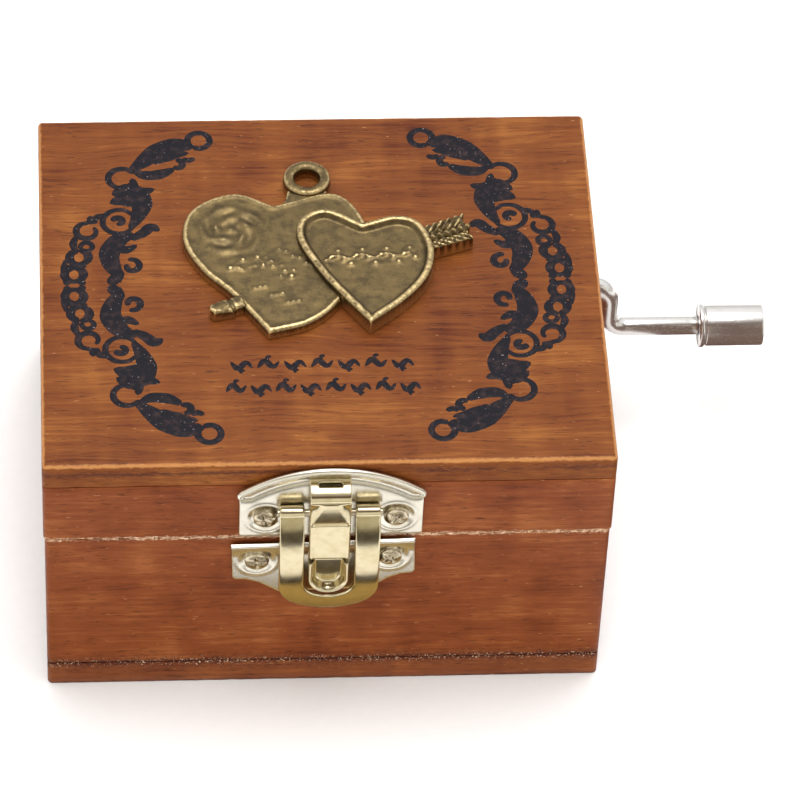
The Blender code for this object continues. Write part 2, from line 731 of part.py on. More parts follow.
def make_tongue():
    """The swinging loop: a bowed sheet, curled round the pin, cut to a U with a round foot."""
    start = Vector((LATCH_PIN_OUT + CURL_RADIUS - SHEET / 2, LATCH_PIN_Z))
    end = Vector((TONGUE_END_OUT, SEAM_Z + TONGUE_FOOT - SHEET))
    chord = end - start
    out = Vector((-chord.y, chord.x)).normalized()
    steps = 14
    line = []
    for i in range(steps + 1):
        share = i / steps
        bow = 4 * share * (1 - share) * TONGUE_BULGE
        line.append(start + chord * share + out * bow)
    outer = [(p.x + SHEET / 2, p.y) for p in line]
    inner = [(p.x - SHEET / 2, p.y) for p in reversed(line)]
    band = front_profile("latch_tongue", outer + inner, TONGUE_HALF + MM)
    curl_place = (0, LATCH_PIN_Y, LATCH_PIN_Z)
    curl = rod("curl", CURL_RADIUS, 2 * (TONGUE_HALF + MM), curl_place, ALONG_X, 24)
    bore = rod("curl_bore", LATCH_PIN_RADIUS + BORE_GAP, 4 * TONGUE_HALF, curl_place, ALONG_X)

    top = LATCH_PIN_Z + 2 * CURL_RADIUS
    lobe_z = SEAM_Z + TONGUE_FOOT + TONGUE_HALF
    slot_z = SEAM_Z + TONGUE_SLOT_FOOT + TONGUE_SLOT_HALF
    outline = [
        (-TONGUE_HALF, top),
        *arc((0, lobe_z), TONGUE_HALF, 180, 360, 20),
        (TONGUE_HALF, top),
        (TONGUE_SLOT_HALF, top),
        *arc((0, slot_z), TONGUE_SLOT_HALF, 360, 180, 14),
        (-TONGUE_SLOT_HALF, top),
    ]
    blank_y = -HALF_DEPTH - STRAP_FACE
    blank = prism("tongue_blank", outline, 8 * MM, LATCH_BRASS, (0, blank_y, 0), FACING_FRONT)
    boolean(band, "UNION", curl)
    boolean(band, "DIFFERENCE", bore)
    boolean(band, "INTERSECT", blank)
    return smooth(baked(band))


def make_base_plate():
    """The base plate: a sheet with a turned-out lip, cut to its outline, then set a little askew."""
    top, foot = SEAM_Z, SEAM_Z - BASE_PLATE_HEIGHT - BASE_PLATE_LOBE_DROP
    back = SHEET_GAP - BASE_INSET
    face = back + SHEET
    section = [
        (back, foot),
        (face, foot),
        (face, top - 1.4 * MM),
        (face + 0.25 * LIP_OUT, top - 0.95 * MM),
        (face + LIP_OUT, top - 0.6 * MM),
        (face + LIP_OUT - 0.15 * MM, top - 0.15 * MM),
        (face - 0.1 * MM, top - 0.5 * MM),
        (back, top - 0.9 * MM),
    ]
    plate = front_profile("latch_base_plate", section, BASE_PLATE_HALF + MM)
    left, right = -BASE_PLATE_HALF, BASE_PLATE_HALF
    side = top - BASE_PLATE_HEIGHT - BASE_PLATE_SIDE
    lobe = side - BASE_PLATE_LOBE_DROP / 2 + 0.6 * MM
    outline = [
        (left, top),
        (left, side),
        (left + 1.5 * MM, side - 0.1 * MM),
        (left + 3.0 * MM, side - 0.7 * MM),
        (-BASE_PLATE_LOBE, lobe),
        (BASE_PLATE_LOBE, lobe),
        (right - 3.0 * MM, side - 0.7 * MM),
        (right - 1.5 * MM, side - 0.1 * MM),
        (right, side),
        (right, top),
    ]
    blank = prism(
        "base_plate_blank", outline, 6 * MM, LATCH_BRASS, (0, -HALF_DEPTH, 0), FACING_FRONT
    )
    return smooth(baked(boolean(plate, "INTERSECT", blank)))


def skewed(x, z):
    """A point of the base plate, turned with the plate about the plate's middle."""
    middle = Vector((0, SEAM_Z - BASE_PLATE_HEIGHT))
    offset = Vector((x, z)) - middle
    turn = Matrix.Rotation(BASE_PLATE_SKEW, 2)
    place_ = middle + turn @ offset
    return place_.x + BASE_PLATE_X, place_.y


def make_catch():
    """The cup that stands in the slot: a U-shaped wall on a floor, open at its top."""
    middle_z = SEAM_Z + CATCH_FOOT + CATCH_HALF
    back = SHEET_GAP - BASE_INSET + SHEET + SHEET_GAP

    def cup(name, half, top, depth_from, depth_to):
        outline = [(half, top), (-half, top), *arc((0, middle_z), half, 180, 360, 14)]
        centre = (0, -HALF_DEPTH - (depth_from + depth_to) / 2, 0)
        return prism(name, outline, depth_to - depth_from, LATCH_BRASS, centre, FACING_FRONT)

    catch = cup("latch_catch", CATCH_HALF, SEAM_Z + CATCH_TOP, back, back + CATCH_OUT)
    pocket = cup(
        "catch_pocket",
        CATCH_HALF - CATCH_WALL,
        SEAM_Z + CATCH_TOP + MM,
        back + 2 * CATCH_WALL,
        back + CATCH_OUT + MM,
    )
    return boolean(catch, "DIFFERENCE", pocket)


def make_latch(base_front, lid_front):
    lid_plate = make_lid_plate()
    tongue = make_tongue()
    base_plate = make_base_plate()
    turn = Matrix.Translation((BASE_PLATE_X, 0, SEAM_Z - BASE_PLATE_HEIGHT))
    pin_middle = Matrix.Translation((0, 0, BASE_PLATE_HEIGHT - SEAM_Z))
    bpy.context.view_layer.update()
    base_plate.matrix_world = (
        turn @ Matrix.Rotation(-BASE_PLATE_SKEW, 4, "Y") @ pin_middle @ base_plate.matrix_world
    )
    catch = make_catch()
    pin = rod(
        "latch_hinge_pin",
        LATCH_PIN_RADIUS,
        2 * TONGUE_HALF + SHEET,
        (0, LATCH_PIN_Y, LATCH_PIN_Z),
        ALONG_X,
        16,
    )
    screw = screw_mesh("latch_screw", SCREW_HEAD, SCREW_HEAD_HEIGHT, SCREW_SHANK, LATCH_SCREW_LENGTH)
    lid_pieces, base_pieces = [lid_plate, pin], [base_plate, catch]
    lid_seat = -HALF_DEPTH - SHEET_GAP - SHEET - SHEET_GAP / 2
    base_seat = lid_seat + BASE_INSET
    length = LATCH_SCREW_LENGTH
    for side, sign in (("left", -1), ("right", 1)):
        seat = (LID_PLATE_X + sign * LID_SCREW_X, lid_seat, SEAM_Z + LID_SCREW_HEIGHT)
        name = f"latch_screw_lid_{side}"
        held = (lid_plate, lid_front)
        lid_pieces.append(fasten(name, screw, SCREW_SHANK, length, seat, HEAD_FRONT, *held))
        x, z = skewed(sign * BASE_SCREW_X, SEAM_Z - BASE_SCREW_DEPTH)
        name = f"latch_screw_base_{side}"
        held = (base_plate, base_front)
        seat = (x, base_seat, z)
        base_pieces.append(fasten(name, screw, SCREW_SHANK, length, seat, HEAD_FRONT, *held))
    return base_pieces, lid_pieces, tongue


# ---------------------------------------------------------------- charm


def make_charm():
    """Two hearts crossed by an arrow, with a hanging ring, cast in one."""
    foot = TOTAL_HEIGHT + SHEET_GAP

    def lay(thickness, lift=0.0):
        return (0, 0, foot + lift + thickness / 2)

    big = [(-5.0, 11.5), (-9.5, 13.5), (-14.3, 11.2), (-15.6, 6.5), (-13.6, 1.6), (-10.2, -2.4)]
    big += [(-6.2, -8.4), (-1.6, -7.0), (1.75, -4.0), (5.2, 2.0), (5.6, 8.2), (2.2, 13.3)]
    charm = smooth_outline(
        "heart_charm", big, (0, 6), CHARM_THICKNESS, CHARM_BRONZE, lay(CHARM_THICKNESS)
    )
    small = [(5.1, 7.8), (1.0, 10.1), (-2.0, 8.6), (-2.4, 5.2), (-0.2, 0.3), (2.3, -3.6)]
    small += [(5.3, -7.8), (9.4, -4.3), (12.2, -0.6), (13.1, 3.6), (11.8, 7.6), (9.0, 8.9)]
    lift = 0.15 * MM
    heart = smooth_outline(
        "small_heart",
        small,
        (0, 6),
        SMALL_HEART_THICKNESS,
        CHARM_BRONZE,
        lay(SMALL_HEART_THICKNESS, lift),
    )
    middle = Vector((5.2, 2.2))
    inner = [tuple(middle + (Vector(point) - middle) * 0.86) for point in small]
    floor = foot + lift + SMALL_HEART_THICKNESS - SMALL_HEART_RECESS
    pocket_middle = (0, 0, floor + MM / 2)
    pocket = smooth_outline("small_heart_pocket", inner, (0, 6), MM, CHARM_BRONZE, pocket_middle)
    ring_middle = (-1.0 * MM, 15.7 * MM, foot + lift + RING_THICKNESS / 2)
    ring = sleeve("ring", RING_RADIUS, RING_HOLE, RING_THICKNESS, CHARM_BRONZE, ring_middle, FLAT)
    arrow_foot = (0, 0, foot + 2 * lift + ARROW_THICKNESS / 2)
    tail, tip = Vector((13.0, 5.4)) * MM, Vector((-12.8, -4.9)) * MM
    along = (tip - tail).normalized()
    across = Vector((-along.y, along.x)) * ARROW_HALF
    shaft = [tail + across, tip + across * 0.6, tip - across * 0.6, tail - across]
    shaft = prism("arrow_shaft", shaft, ARROW_THICKNESS, CHARM_BRONZE, arrow_foot)
    feathers = [(11.0, 4.4), (12.4, 3.2), (17.7, 5.3), (17.1, 6.2), (17.5, 7.4), (16.6, 7.9)]
    feathers += [(16.8, 9.2), (11.6, 7.2)]
    feathers = [Vector(point) * MM for point in feathers]
    feathers = prism("arrow_feathers", feathers, ARROW_THICKNESS, CHARM_BRONZE, arrow_foot)
    boolean(charm, "UNION", heart)
    boolean(charm, "DIFFERENCE", pocket)
    boolean(charm, "UNION", ring, shaft, feathers)
    return charm


# ---------------------------------------------------------------- movement


def make_bed(bottom_board):
    """The bedplate, and the three screws that hold it from below through the bottom board."""
    left, right = DRUM_X - BED_LEFT_OF_DRUM, DRUM_X + BED_RIGHT_OF_DRUM
    bed = rounded_box(
        "bedplate",
        (left, BED_FRONT, BED_FOOT),
        (right, BED_BACK, BED_TOP),
        ((0, -1), (0, 1), (1, -1), (1, 1)),
        BED_CORNER,
        BED_ZINC,
        4,
    )
    head, shank, head_height, sunk = 2.1 * MM, 0.95 * MM, 1.1 * MM, 1.5 * MM
    length = BED_TOP - sunk - 2 * END_GAP
    mesh = screw_mesh("movement_screw", head, head_height, shank, length)
    pieces = [bed]
    inset = 2.6 * MM
    spots = (
        ("front_left", left + inset + MM, BED_FRONT + inset),
        ("rear_left", left + inset + MM, BED_BACK - inset),
        ("right", right - inset, (DRUM_FRONT + DRUM_BACK) / 2),
    )
    for name, x, y in spots:
        seat = (x, y, sunk - SHEET_GAP / 2)
        held = (bed, bottom_board)
        screw = fasten(f"movement_screw_{name}", mesh, shank, length, seat, HEAD_DOWN, *held)
        well = rod(f"well_{name}", head + 3 * BORE_GAP, 2 * sunk, (x, y, 0), sides=20)
        boolean(bottom_board, "DIFFERENCE", well)
        pieces.append(screw)
    return pieces


def comb_root(y):
    """The x place where the tooth at a y place starts: the bass teeth at the front are longer."""
    share = (y - COMB_FRONT) / COMB_WIDTH
    return COMB_TIP_X - COMB_FRONT_TOOTH + share * (COMB_FRONT_TOOTH - COMB_REAR_TOOTH)


def make_comb():
    """The steel comb, the block that carries it, and its two screws."""
    back_x = COMB_TIP_X - COMB_LENGTH
    outline = [(back_x, COMB_BACK), (back_x, COMB_FRONT), (comb_root(COMB_FRONT), COMB_FRONT)]
    side = (COMB_PITCH - COMB_TOOTH) / 2
    for tooth in range(COMB_TEETH):
        start = COMB_FRONT + tooth * COMB_PITCH
        end = start + COMB_PITCH
        outline.append((comb_root(start), start + side))
        outline += [(COMB_TIP_X, start + side), (COMB_TIP_X, end - side)]
        outline += [(comb_root(end), end - side), (comb_root(end), end + side)]
    outline[-1] = (comb_root(COMB_BACK), COMB_BACK)
    comb = prism("comb", outline, COMB_THICKNESS, COMB_STEEL, (0, 0, COMB_Z))
    block_top = COMB_Z - COMB_THICKNESS / 2 - SHEET_GAP
    block_foot = BED_TOP + SHEET_GAP
    front, back = COMB_FRONT - BLOCK_MARGIN, COMB_BACK + BLOCK_MARGIN
    block_outline = [
        (back_x - BLOCK_MARGIN, front),
        (comb_root(COMB_FRONT) - BLOCK_MARGIN, front),
        (comb_root(COMB_BACK) - BLOCK_MARGIN, back),
        (back_x - BLOCK_MARGIN, back),
    ]
    height = block_top - block_foot
    middle = (0, 0, (block_top + block_foot) / 2)
    block = prism("comb_block", block_outline, height, BED_ZINC, middle)
    head, shank, head_height, length = 1.7 * MM, 0.85 * MM, 1.0 * MM, 4.5 * MM
    mesh = screw_mesh("comb_screw", head, head_height, shank, length)
    pieces = [comb, block]
    seat_z = COMB_Z + COMB_THICKNESS / 2 + SHEET_GAP / 2
    for name, sign in (("front", -1), ("rear", 1)):
        y = (COMB_FRONT + COMB_BACK + sign * COMB_SCREW_SPREAD) / 2
        seat = (back_x + COMB_SCREW_INSET, y, seat_z)
        pieces.append(
            fasten(f"comb_screw_{name}", mesh, shank, length, seat, HEAD_UP, comb, block)
        )
    return pieces


def bearing(name, along, height, bore, centre, plane):
    """A bearing plate that stands on the bedplate: a tapered foot with a round head and a bore."""
    foot = BED_TOP + SHEET_GAP
    outline = [
        (along - BEARING_HALF_WIDTH, foot),
        (along + BEARING_HALF_WIDTH, foot),
        *arc((along, height), BEARING_HEAD, -10, 190, 12),
    ]
    hole = arc((along, height), bore, 0, 345, 23)
    return prism(name, outline, BEARING_THICKNESS, BED_ZINC, centre, plane, [hole])


def make_bearings():
    drum_bore = AXLE_RADIUS + BORE_GAP
    pieces = [
        bearing(f"drum_bearing_{name}", DRUM_X, DRUM_Z, drum_bore, (0, y, 0), FACING_FRONT)
        for name, y in (("front", FRONT_BEARING_Y), ("rear", REAR_BEARING_Y))
    ]
    pieces += [
        bearing(f"crank_bearing_{name}", CRANK_Y, CRANK_Z, SHAFT_BORE, (x, 0, 0), FACING_SIDE)
        for name, x in (("inner", INNER_BEARING_X), ("outer", OUTER_BEARING_X))
    ]
    return pieces


def drum_pins():
    """All the drum's pins as one mesh: in each tooth's lane, a few pins at spread-out angles."""
    shape = bmesh.new()
    golden = math.pi * (3 - math.sqrt(5))
    sunk = DRUM_WALL / 2
    reach = PIN_HEIGHT + sunk
    for lane in range(COMB_TEETH):
        y = COMB_FRONT + (lane + 0.5) * COMB_PITCH
        for number in range(PINS_PER_LANE):
            turn = lane * golden + number * math.tau / PINS_PER_LANE + 0.3 * math.sin(lane * number)
            out = Matrix.Translation((0, 0, DRUM_RADIUS - sunk + reach / 2))
            spot = Matrix.Translation((0, y, 0)) @ Matrix.Rotation(turn, 4, "Y") @ out
            bmesh.ops.create_cone(
                shape,
                cap_ends=True,
                segments=6,
                radius1=PIN_RADIUS,
                radius2=0.8 * PIN_RADIUS,
                depth=reach,
                matrix=spot,
            )
    mesh = bpy.data.meshes.new("drum_pins")
    shape.to_mesh(mesh)
    shape.free()
    return place("drum_pins", mesh, DRUM_BRASS, (DRUM_X, 0, DRUM_Z))


def make_wheel():
    """The worm wheel: slanted teeth round a bored disc, with a gap straight up at the worm."""
    root = WHEEL_PITCH_RADIUS - TOOTH_BELOW_PITCH
    tip = WHEEL_PITCH_RADIUS + TOOTH_ABOVE_PITCH
    step = math.tau / WHEEL_TEETH
    root_half = step * (TOOTH_SHARE / 2 + 0.12)
    tip_half = step * (TOOTH_SHARE / 2 - 0.1)
    slant = WORM_LEAD / (math.tau * WORM_PITCH_RADIUS)
    twist = slant * WHEEL_THICKNESS / WHEEL_PITCH_RADIUS
    flank = ((root, -root_half), (tip, -tip_half), (tip, tip_half), (root, root_half))
    shape = bmesh.new()
    rims, bores = [], []
    for end in (-0.5, 0.5):
        rim, bore = [], []
        for tooth in range(WHEEL_TEETH):
            middle = (tooth + 0.5) * step + end * twist
            for radius, offset in flank:
                angle = middle + offset
                spot = (radius * math.sin(angle), end * WHEEL_THICKNESS, radius * math.cos(angle))
                rim.append(shape.verts.new(spot))
            angle = middle - step / 2
            hub = AXLE_RADIUS + BORE_GAP
            spot = (hub * math.sin(angle), end * WHEEL_THICKNESS, hub * math.cos(angle))
            bore.append(shape.verts.new(spot))
        rims.append(rim)
        bores.append(bore)
    rim_count = 4 * WHEEL_TEETH
    for i in range(rim_count):
        j = (i + 1) % rim_count
        shape.faces.new((rims[0][i], rims[0][j], rims[1][j], rims[1][i]))
    for i in range(WHEEL_TEETH):
        j = (i + 1) % WHEEL_TEETH
        shape.faces.new((bores[0][i], bores[1][i], bores[1][j], bores[0][j]))
        for rim, bore in zip(rims, bores):
            around = [rim[(4 * i + k) % rim_count] for k in range(-1, 4)]
            shape.faces.new((bore[i], *around, bore[j]))
    bmesh.ops.recalc_face_normals(shape, faces=shape.faces)
    mesh = bpy.data.meshes.new("worm_wheel")
    shape.to_mesh(mesh)
    shape.free()
    return place("worm_wheel", mesh, WHEEL_PLASTIC, (DRUM_X, CRANK_Y, DRUM_Z))


def make_drum():
    """The pinned tube, its two heads, the worm wheel and the axle that carries them."""
    length = DRUM_BACK - DRUM_FRONT
    middle = (DRUM_FRONT + DRUM_BACK) / 2
    inner = DRUM_RADIUS - DRUM_WALL
    shell = sleeve(
        "drum_shell", DRUM_RADIUS, inner, length, DRUM_BRASS, (DRUM_X, middle, DRUM_Z), ALONG_Y, 48
    )
    boolean(shell, "UNION", drum_pins())
    pieces = [shell]
    for name, y, sign in (("front", DRUM_FRONT, 1), ("rear", DRUM_BACK, -1)):
        centre = (DRUM_X, y + sign * (END_GAP + DRUM_HEAD_THICKNESS / 2), DRUM_Z)
        pieces.append(
            sleeve(
                f"drum_head_{name}",
                inner - SHEET_GAP,
                AXLE_RADIUS + BORE_GAP,
                DRUM_HEAD_THICKNESS,
                DRUM_BRASS,
                centre,
                ALONG_Y,
                32,
            )
        )
    margin = BEARING_THICKNESS / 2 + 0.6 * MM
    start, end = FRONT_BEARING_Y - margin, REAR_BEARING_Y + margin
    axle_centre = (DRUM_X, (start + end) / 2, DRUM_Z)
    axle = rod("drum_axle", AXLE_RADIUS, end - start, axle_centre, ALONG_Y, 16, WORM_STEEL)
    return [*pieces, make_wheel(), axle]


def make_worm():
    """The worm: a right-hand thread, cut from helical rows and trimmed to a bored sleeve."""
    root = WORM_PITCH_RADIUS - TOOTH_BELOW_PITCH
    tip = WORM_RADIUS
    half = TOOTH_SHARE / 2
    marks = [(-half - 0.12, root), (-half + 0.1, tip), (half - 0.1, tip), (half + 0.12, root)]
    around = 20
    turns = math.ceil(WORM_LENGTH / WORM_LEAD) + 2
    shape = bmesh.new()
    rows = []
    for step in range(around * turns + 1):
        angle = math.tau * step / around
        run = WORM_LEAD * (step / around - turns / 2)
        # The thread's middle crosses the worm's underside at the worm's middle.
        shift = WORM_LEAD * (0.25 + (turns / 2) % 1)
        rows.append(
            [
                shape.verts.new(
                    (run + shift + share * WORM_LEAD, radius * math.cos(angle), radius * math.sin(angle))
                )
                for share, radius in marks
            ]
        )
    count = len(marks)
    for step in range(around * turns):
        here, ahead = rows[step], rows[step + 1]
        for k in range(count - 1):
            shape.faces.new((here[k], here[k + 1], ahead[k + 1], ahead[k]))
        if step + around + 1 < len(rows):
            next_here, next_ahead = rows[step + around], rows[step + around + 1]
            shape.faces.new((here[-1], next_here[0], next_ahead[0], ahead[-1]))
    ends = bmesh.ops.holes_fill(shape, edges=shape.edges, sides=0)["faces"]
    bmesh.ops.triangulate(shape, faces=ends)
    bmesh.ops.recalc_face_normals(shape, faces=shape.faces)
    mesh = bpy.data.meshes.new("worm")
    shape.to_mesh(mesh)
    shape.free()
    worm = place("worm", mesh, WORM_STEEL, (DRUM_X, CRANK_Y, CRANK_Z))
    trim = sleeve(
        "worm_trim",
        tip + MM,
        SHAFT_BORE,
        WORM_LENGTH,
        WORM_STEEL,
        (DRUM_X, CRANK_Y, CRANK_Z),
        ALONG_X,
    )
    return boolean(worm, "INTERSECT", trim)


def make_crank(base_right):
    """The bent wire with its worm and collar, the knob on its end, and its hole in the wall."""
    wire_end = KNOB_X + KNOB_LENGTH - KNOB_END_WALL - END_GAP
    path = fillet_path(
        [
            (SHAFT_END_X, CRANK_Y, CRANK_Z),
            (ARM_X, CRANK_Y, CRANK_Z),
            (ARM_X, CRANK_Y, HANDLE_Z),
            (wire_end, CRANK_Y, HANDLE_Z),
        ],
        BEND_RADIUS,
    )
    crank = wire("crank_wire", path, WIRE_RADIUS, CRANK_NICKEL)
    bearing_face = INNER_BEARING_X - BEARING_THICKNESS / 2
    collar_x = bearing_face - 2 * SHEET_GAP - COLLAR_LENGTH / 2
    collar = sleeve(
        "shaft_collar",
        COLLAR_RADIUS,
        SHAFT_BORE,
        COLLAR_LENGTH,
        WORM_STEEL,
        (collar_x, CRANK_Y, CRANK_Z),
        ALONG_X,
    )
    bore = WIRE_RADIUS + 2 * BORE_GAP
    end, round_ = KNOB_LENGTH, 0.3 * MM
    knob_profile = [
        (0, end),
        (KNOB_RADIUS - round_, end),
        (KNOB_RADIUS, end - round_),
        (KNOB_RADIUS, FLANGE_LENGTH + round_),
        (FLANGE_RADIUS, FLANGE_LENGTH),
        (FLANGE_RADIUS, 0.1 * MM),
        (FLANGE_RADIUS - 0.1 * MM, 0),
        (bore, 0),
        (bore, end - KNOB_END_WALL),
        (0, end - KNOB_END_WALL),
    ]
    knob = turned(
        "crank_knob",
        knob_profile,
        CRANK_NICKEL,
        (KNOB_X, CRANK_Y, HANDLE_Z),
        ALONG_X,
        steps=28,
    )
    hole = rod(
        "crank_hole", WIRE_RADIUS + SHAFT_HOLE_GAP, 3 * WALL, (BASE_X, CRANK_Y, CRANK_Z), ALONG_X, 24
    )
    boolean(base_right, "DIFFERENCE", hole)
    return [crank, make_worm(), collar], knob


def main():
    base = make_base()
    lid = make_lid()
    _, hinge_lid = make_hinges(base["back"], lid["back"])
    _, latch_lid, tongue = make_latch(base["front"], lid["front"])
    charm = make_charm()
    make_bed(base["bottom"])
    make_comb()
    make_bearings()
    drum = make_drum()
    crank, knob = make_crank(base["right"])

    lid_axis = pivot(
        "lid_axis", (0, HINGE_Y, SEAM_Z), *lid.values(), charm, *hinge_lid, *latch_lid
    )
    tongue_axis = pivot("latch_axis", (0, LATCH_PIN_Y, LATCH_PIN_Z), tongue)
    tongue_axis.parent = lid_axis
    tongue_axis.matrix_parent_inverse = lid_axis.matrix_world.inverted()
    crank_axis = pivot("crank_axis", (ARM_X, CRANK_Y, CRANK_Z), *crank)
    knob_axis = pivot("knob_axis", (KNOB_X, CRANK_Y, HANDLE_Z), knob)
    knob_axis.parent = crank_axis
    knob_axis.matrix_parent_inverse = crank_axis.matrix_world.inverted()
    pivot("drum_axis", (DRUM_X, CRANK_Y, DRUM_Z), *drum)


main()
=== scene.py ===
"""Looks of a hand crank music box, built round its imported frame.

Every mesh is made in the frame's own coordinates: +X points to the crank, -Y to the latch, +Z up, and
the origin is under the middle of the box. Sizes are in millimetres until a mesh is written. A
sub-assembly is a class, a finish is a frozen dataclass, and a shader effect that several finishes
share is a node group, built once.
"""

import json
import logging
import math
import random
from collections.abc import Callable, Iterable, Sequence
from dataclasses import dataclass, field
from enum import Enum

import bmesh
import bpy
import numpy as np
from mathutils import Matrix, Quaternion, Vector, noise
from mathutils.geometry import delaunay_2d_cdt


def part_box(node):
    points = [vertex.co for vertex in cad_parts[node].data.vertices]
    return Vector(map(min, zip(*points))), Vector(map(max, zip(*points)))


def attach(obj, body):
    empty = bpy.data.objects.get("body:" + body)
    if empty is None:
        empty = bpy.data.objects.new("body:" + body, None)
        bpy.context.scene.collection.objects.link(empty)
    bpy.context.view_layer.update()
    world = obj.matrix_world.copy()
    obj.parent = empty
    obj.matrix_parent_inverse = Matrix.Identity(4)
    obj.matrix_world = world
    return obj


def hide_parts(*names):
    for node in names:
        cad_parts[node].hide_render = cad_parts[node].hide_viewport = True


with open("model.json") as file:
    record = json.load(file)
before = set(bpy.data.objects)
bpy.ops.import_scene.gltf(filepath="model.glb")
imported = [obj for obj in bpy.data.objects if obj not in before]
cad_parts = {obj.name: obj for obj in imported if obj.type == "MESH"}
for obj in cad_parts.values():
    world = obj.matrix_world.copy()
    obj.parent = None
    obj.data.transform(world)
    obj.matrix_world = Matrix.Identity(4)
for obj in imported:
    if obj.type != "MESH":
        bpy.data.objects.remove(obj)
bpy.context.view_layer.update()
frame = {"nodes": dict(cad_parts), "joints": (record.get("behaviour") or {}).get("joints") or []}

MM = 0.001
CRANK_WIRE_RADIUS = 1.12
END_GAP, DOME_WIDTH, DOME_DEPTH = 0.0005, 0.86, 0.14
SCREW_DOME = 0.42
LOG = logging.getLogger("music_box")

Array = np.ndarray
Mesh = bpy.types.Mesh
Socket = bpy.types.NodeSocket
Point = tuple[float, ...]
Heights = Callable[[Array, Array], Array]
Placing = Callable[[Array], Array]


class Grain(Enum):
    """The direction that a board's fibres run in."""

    ALONG_X = (0, 1, 2)
    ALONG_Y = (1, 0, 2)


def cad_box(node: str) -> tuple[Vector, Vector]:
    """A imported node's lowest and highest corners, in millimetres."""
    low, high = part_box(node)
    return low / MM, high / MM


# ---- shader wiring


class Wiring:
    """Adds nodes to one shader tree and links them."""

    def __init__(self, tree: bpy.types.NodeTree) -> None:
        """Args: tree: the node tree that is written."""
        self.tree = tree

    def node(self, kind: str, inputs: dict | None = None, **settings: object) -> bpy.types.Node:
        """Adds a node.

        Args:
            kind: the node's type name.
            inputs: a value or another node's socket for each input, by name or index.
            settings: properties, such as operation.

        Returns:
            The new node.
        """
        made = self.tree.nodes.new(kind)
        for name, value in settings.items():
            setattr(made, name, value)
        for key, value in (inputs or {}).items():
            if isinstance(value, Socket):
                self.tree.links.new(value, made.inputs[key])
            else:
                made.inputs[key].default_value = value
        return made

    def feed(self, shader: bpy.types.Node, sockets: dict[str, Socket]) -> None:
        """Links a socket to each of the shader's inputs that is named."""
        for label, socket in sockets.items():
            self.tree.links.new(socket, shader.inputs[label])

    def math(self, operation: str, *values: object, clamp: bool = False) -> Socket:
        """A Math node's result, from numbers or sockets."""
        inputs = dict(enumerate(values))
        return self.node("ShaderNodeMath", inputs, operation=operation, use_clamp=clamp).outputs[0]

    def times(self, first: object, second: object) -> Socket:
        """The first value times the second."""
        return self.math("MULTIPLY", first, second)

    def scaled(self, value: object, share: object, base: object, clamp: bool = False) -> Socket:
        """The value times a share, on top of a base."""
        return self.math("MULTIPLY_ADD", value, share, base, clamp=clamp)

    def most(self, first: object, second: object) -> Socket:
        """The larger of two values."""
        return self.math("MAXIMUM", first, second)

    def less(self, first: object, second: object) -> Socket:
        """The first value less the second."""
        return self.math("SUBTRACT", first, second)

    def vector(self, operation: str, *values: object) -> Socket:
        """A Vector Math node's vector, from vectors or sockets."""
        return self.node("ShaderNodeVectorMath", dict(enumerate(values)), operation=operation).outputs[0]

    def mix(self, share: object, first: object, second: object) -> Socket:
        """Two colours mixed by a share, from 0 for the first to 1 for the second."""
        return self.node("ShaderNodeMix", {0: share, 6: first, 7: second}, data_type="RGBA").outputs[2]

    def step(self, value: object, low: float, high: float) -> Socket:
        """A soft step from 0 at low to 1 at high, or falling where low is above high."""
        inputs = {"Value": value, "From Min": low, "From Max": high}
        return self.node("ShaderNodeMapRange", inputs, interpolation_type="SMOOTHSTEP").outputs[0]

    def noise(self, point: object, scale: float, detail: float = 2.0, roughness: float = 0.5) -> Socket:
        """A noise value from 0 to 1 at a point."""
        inputs = {"Vector": point, "Scale": scale, "Detail": detail, "Roughness": roughness}
        return self.node("ShaderNodeTexNoise", inputs).outputs[0]

    def drawn(self, point: object, stretch: Point, detail: float = 1.0, roughness: float = 0.5) -> Socket:
        """A noise value at a point, drawn out by a factor along each axis."""
        return self.noise(self.vector("MULTIPLY", point, stretch), 1.0, detail, roughness)

    def axes(self, vector: object) -> bpy.types.NodeOutputs:
        """A vector's X, Y and Z."""
        return self.node("ShaderNodeSeparateXYZ", {0: vector}).outputs

    def place_in_mm(self) -> Socket:
        """The surface point in the piece's own coordinates, in millimetres."""
        coordinate = self.node("ShaderNodeTexCoord").outputs["Object"]
        return self.vector("MULTIPLY", coordinate, (1 / MM,) * 3)


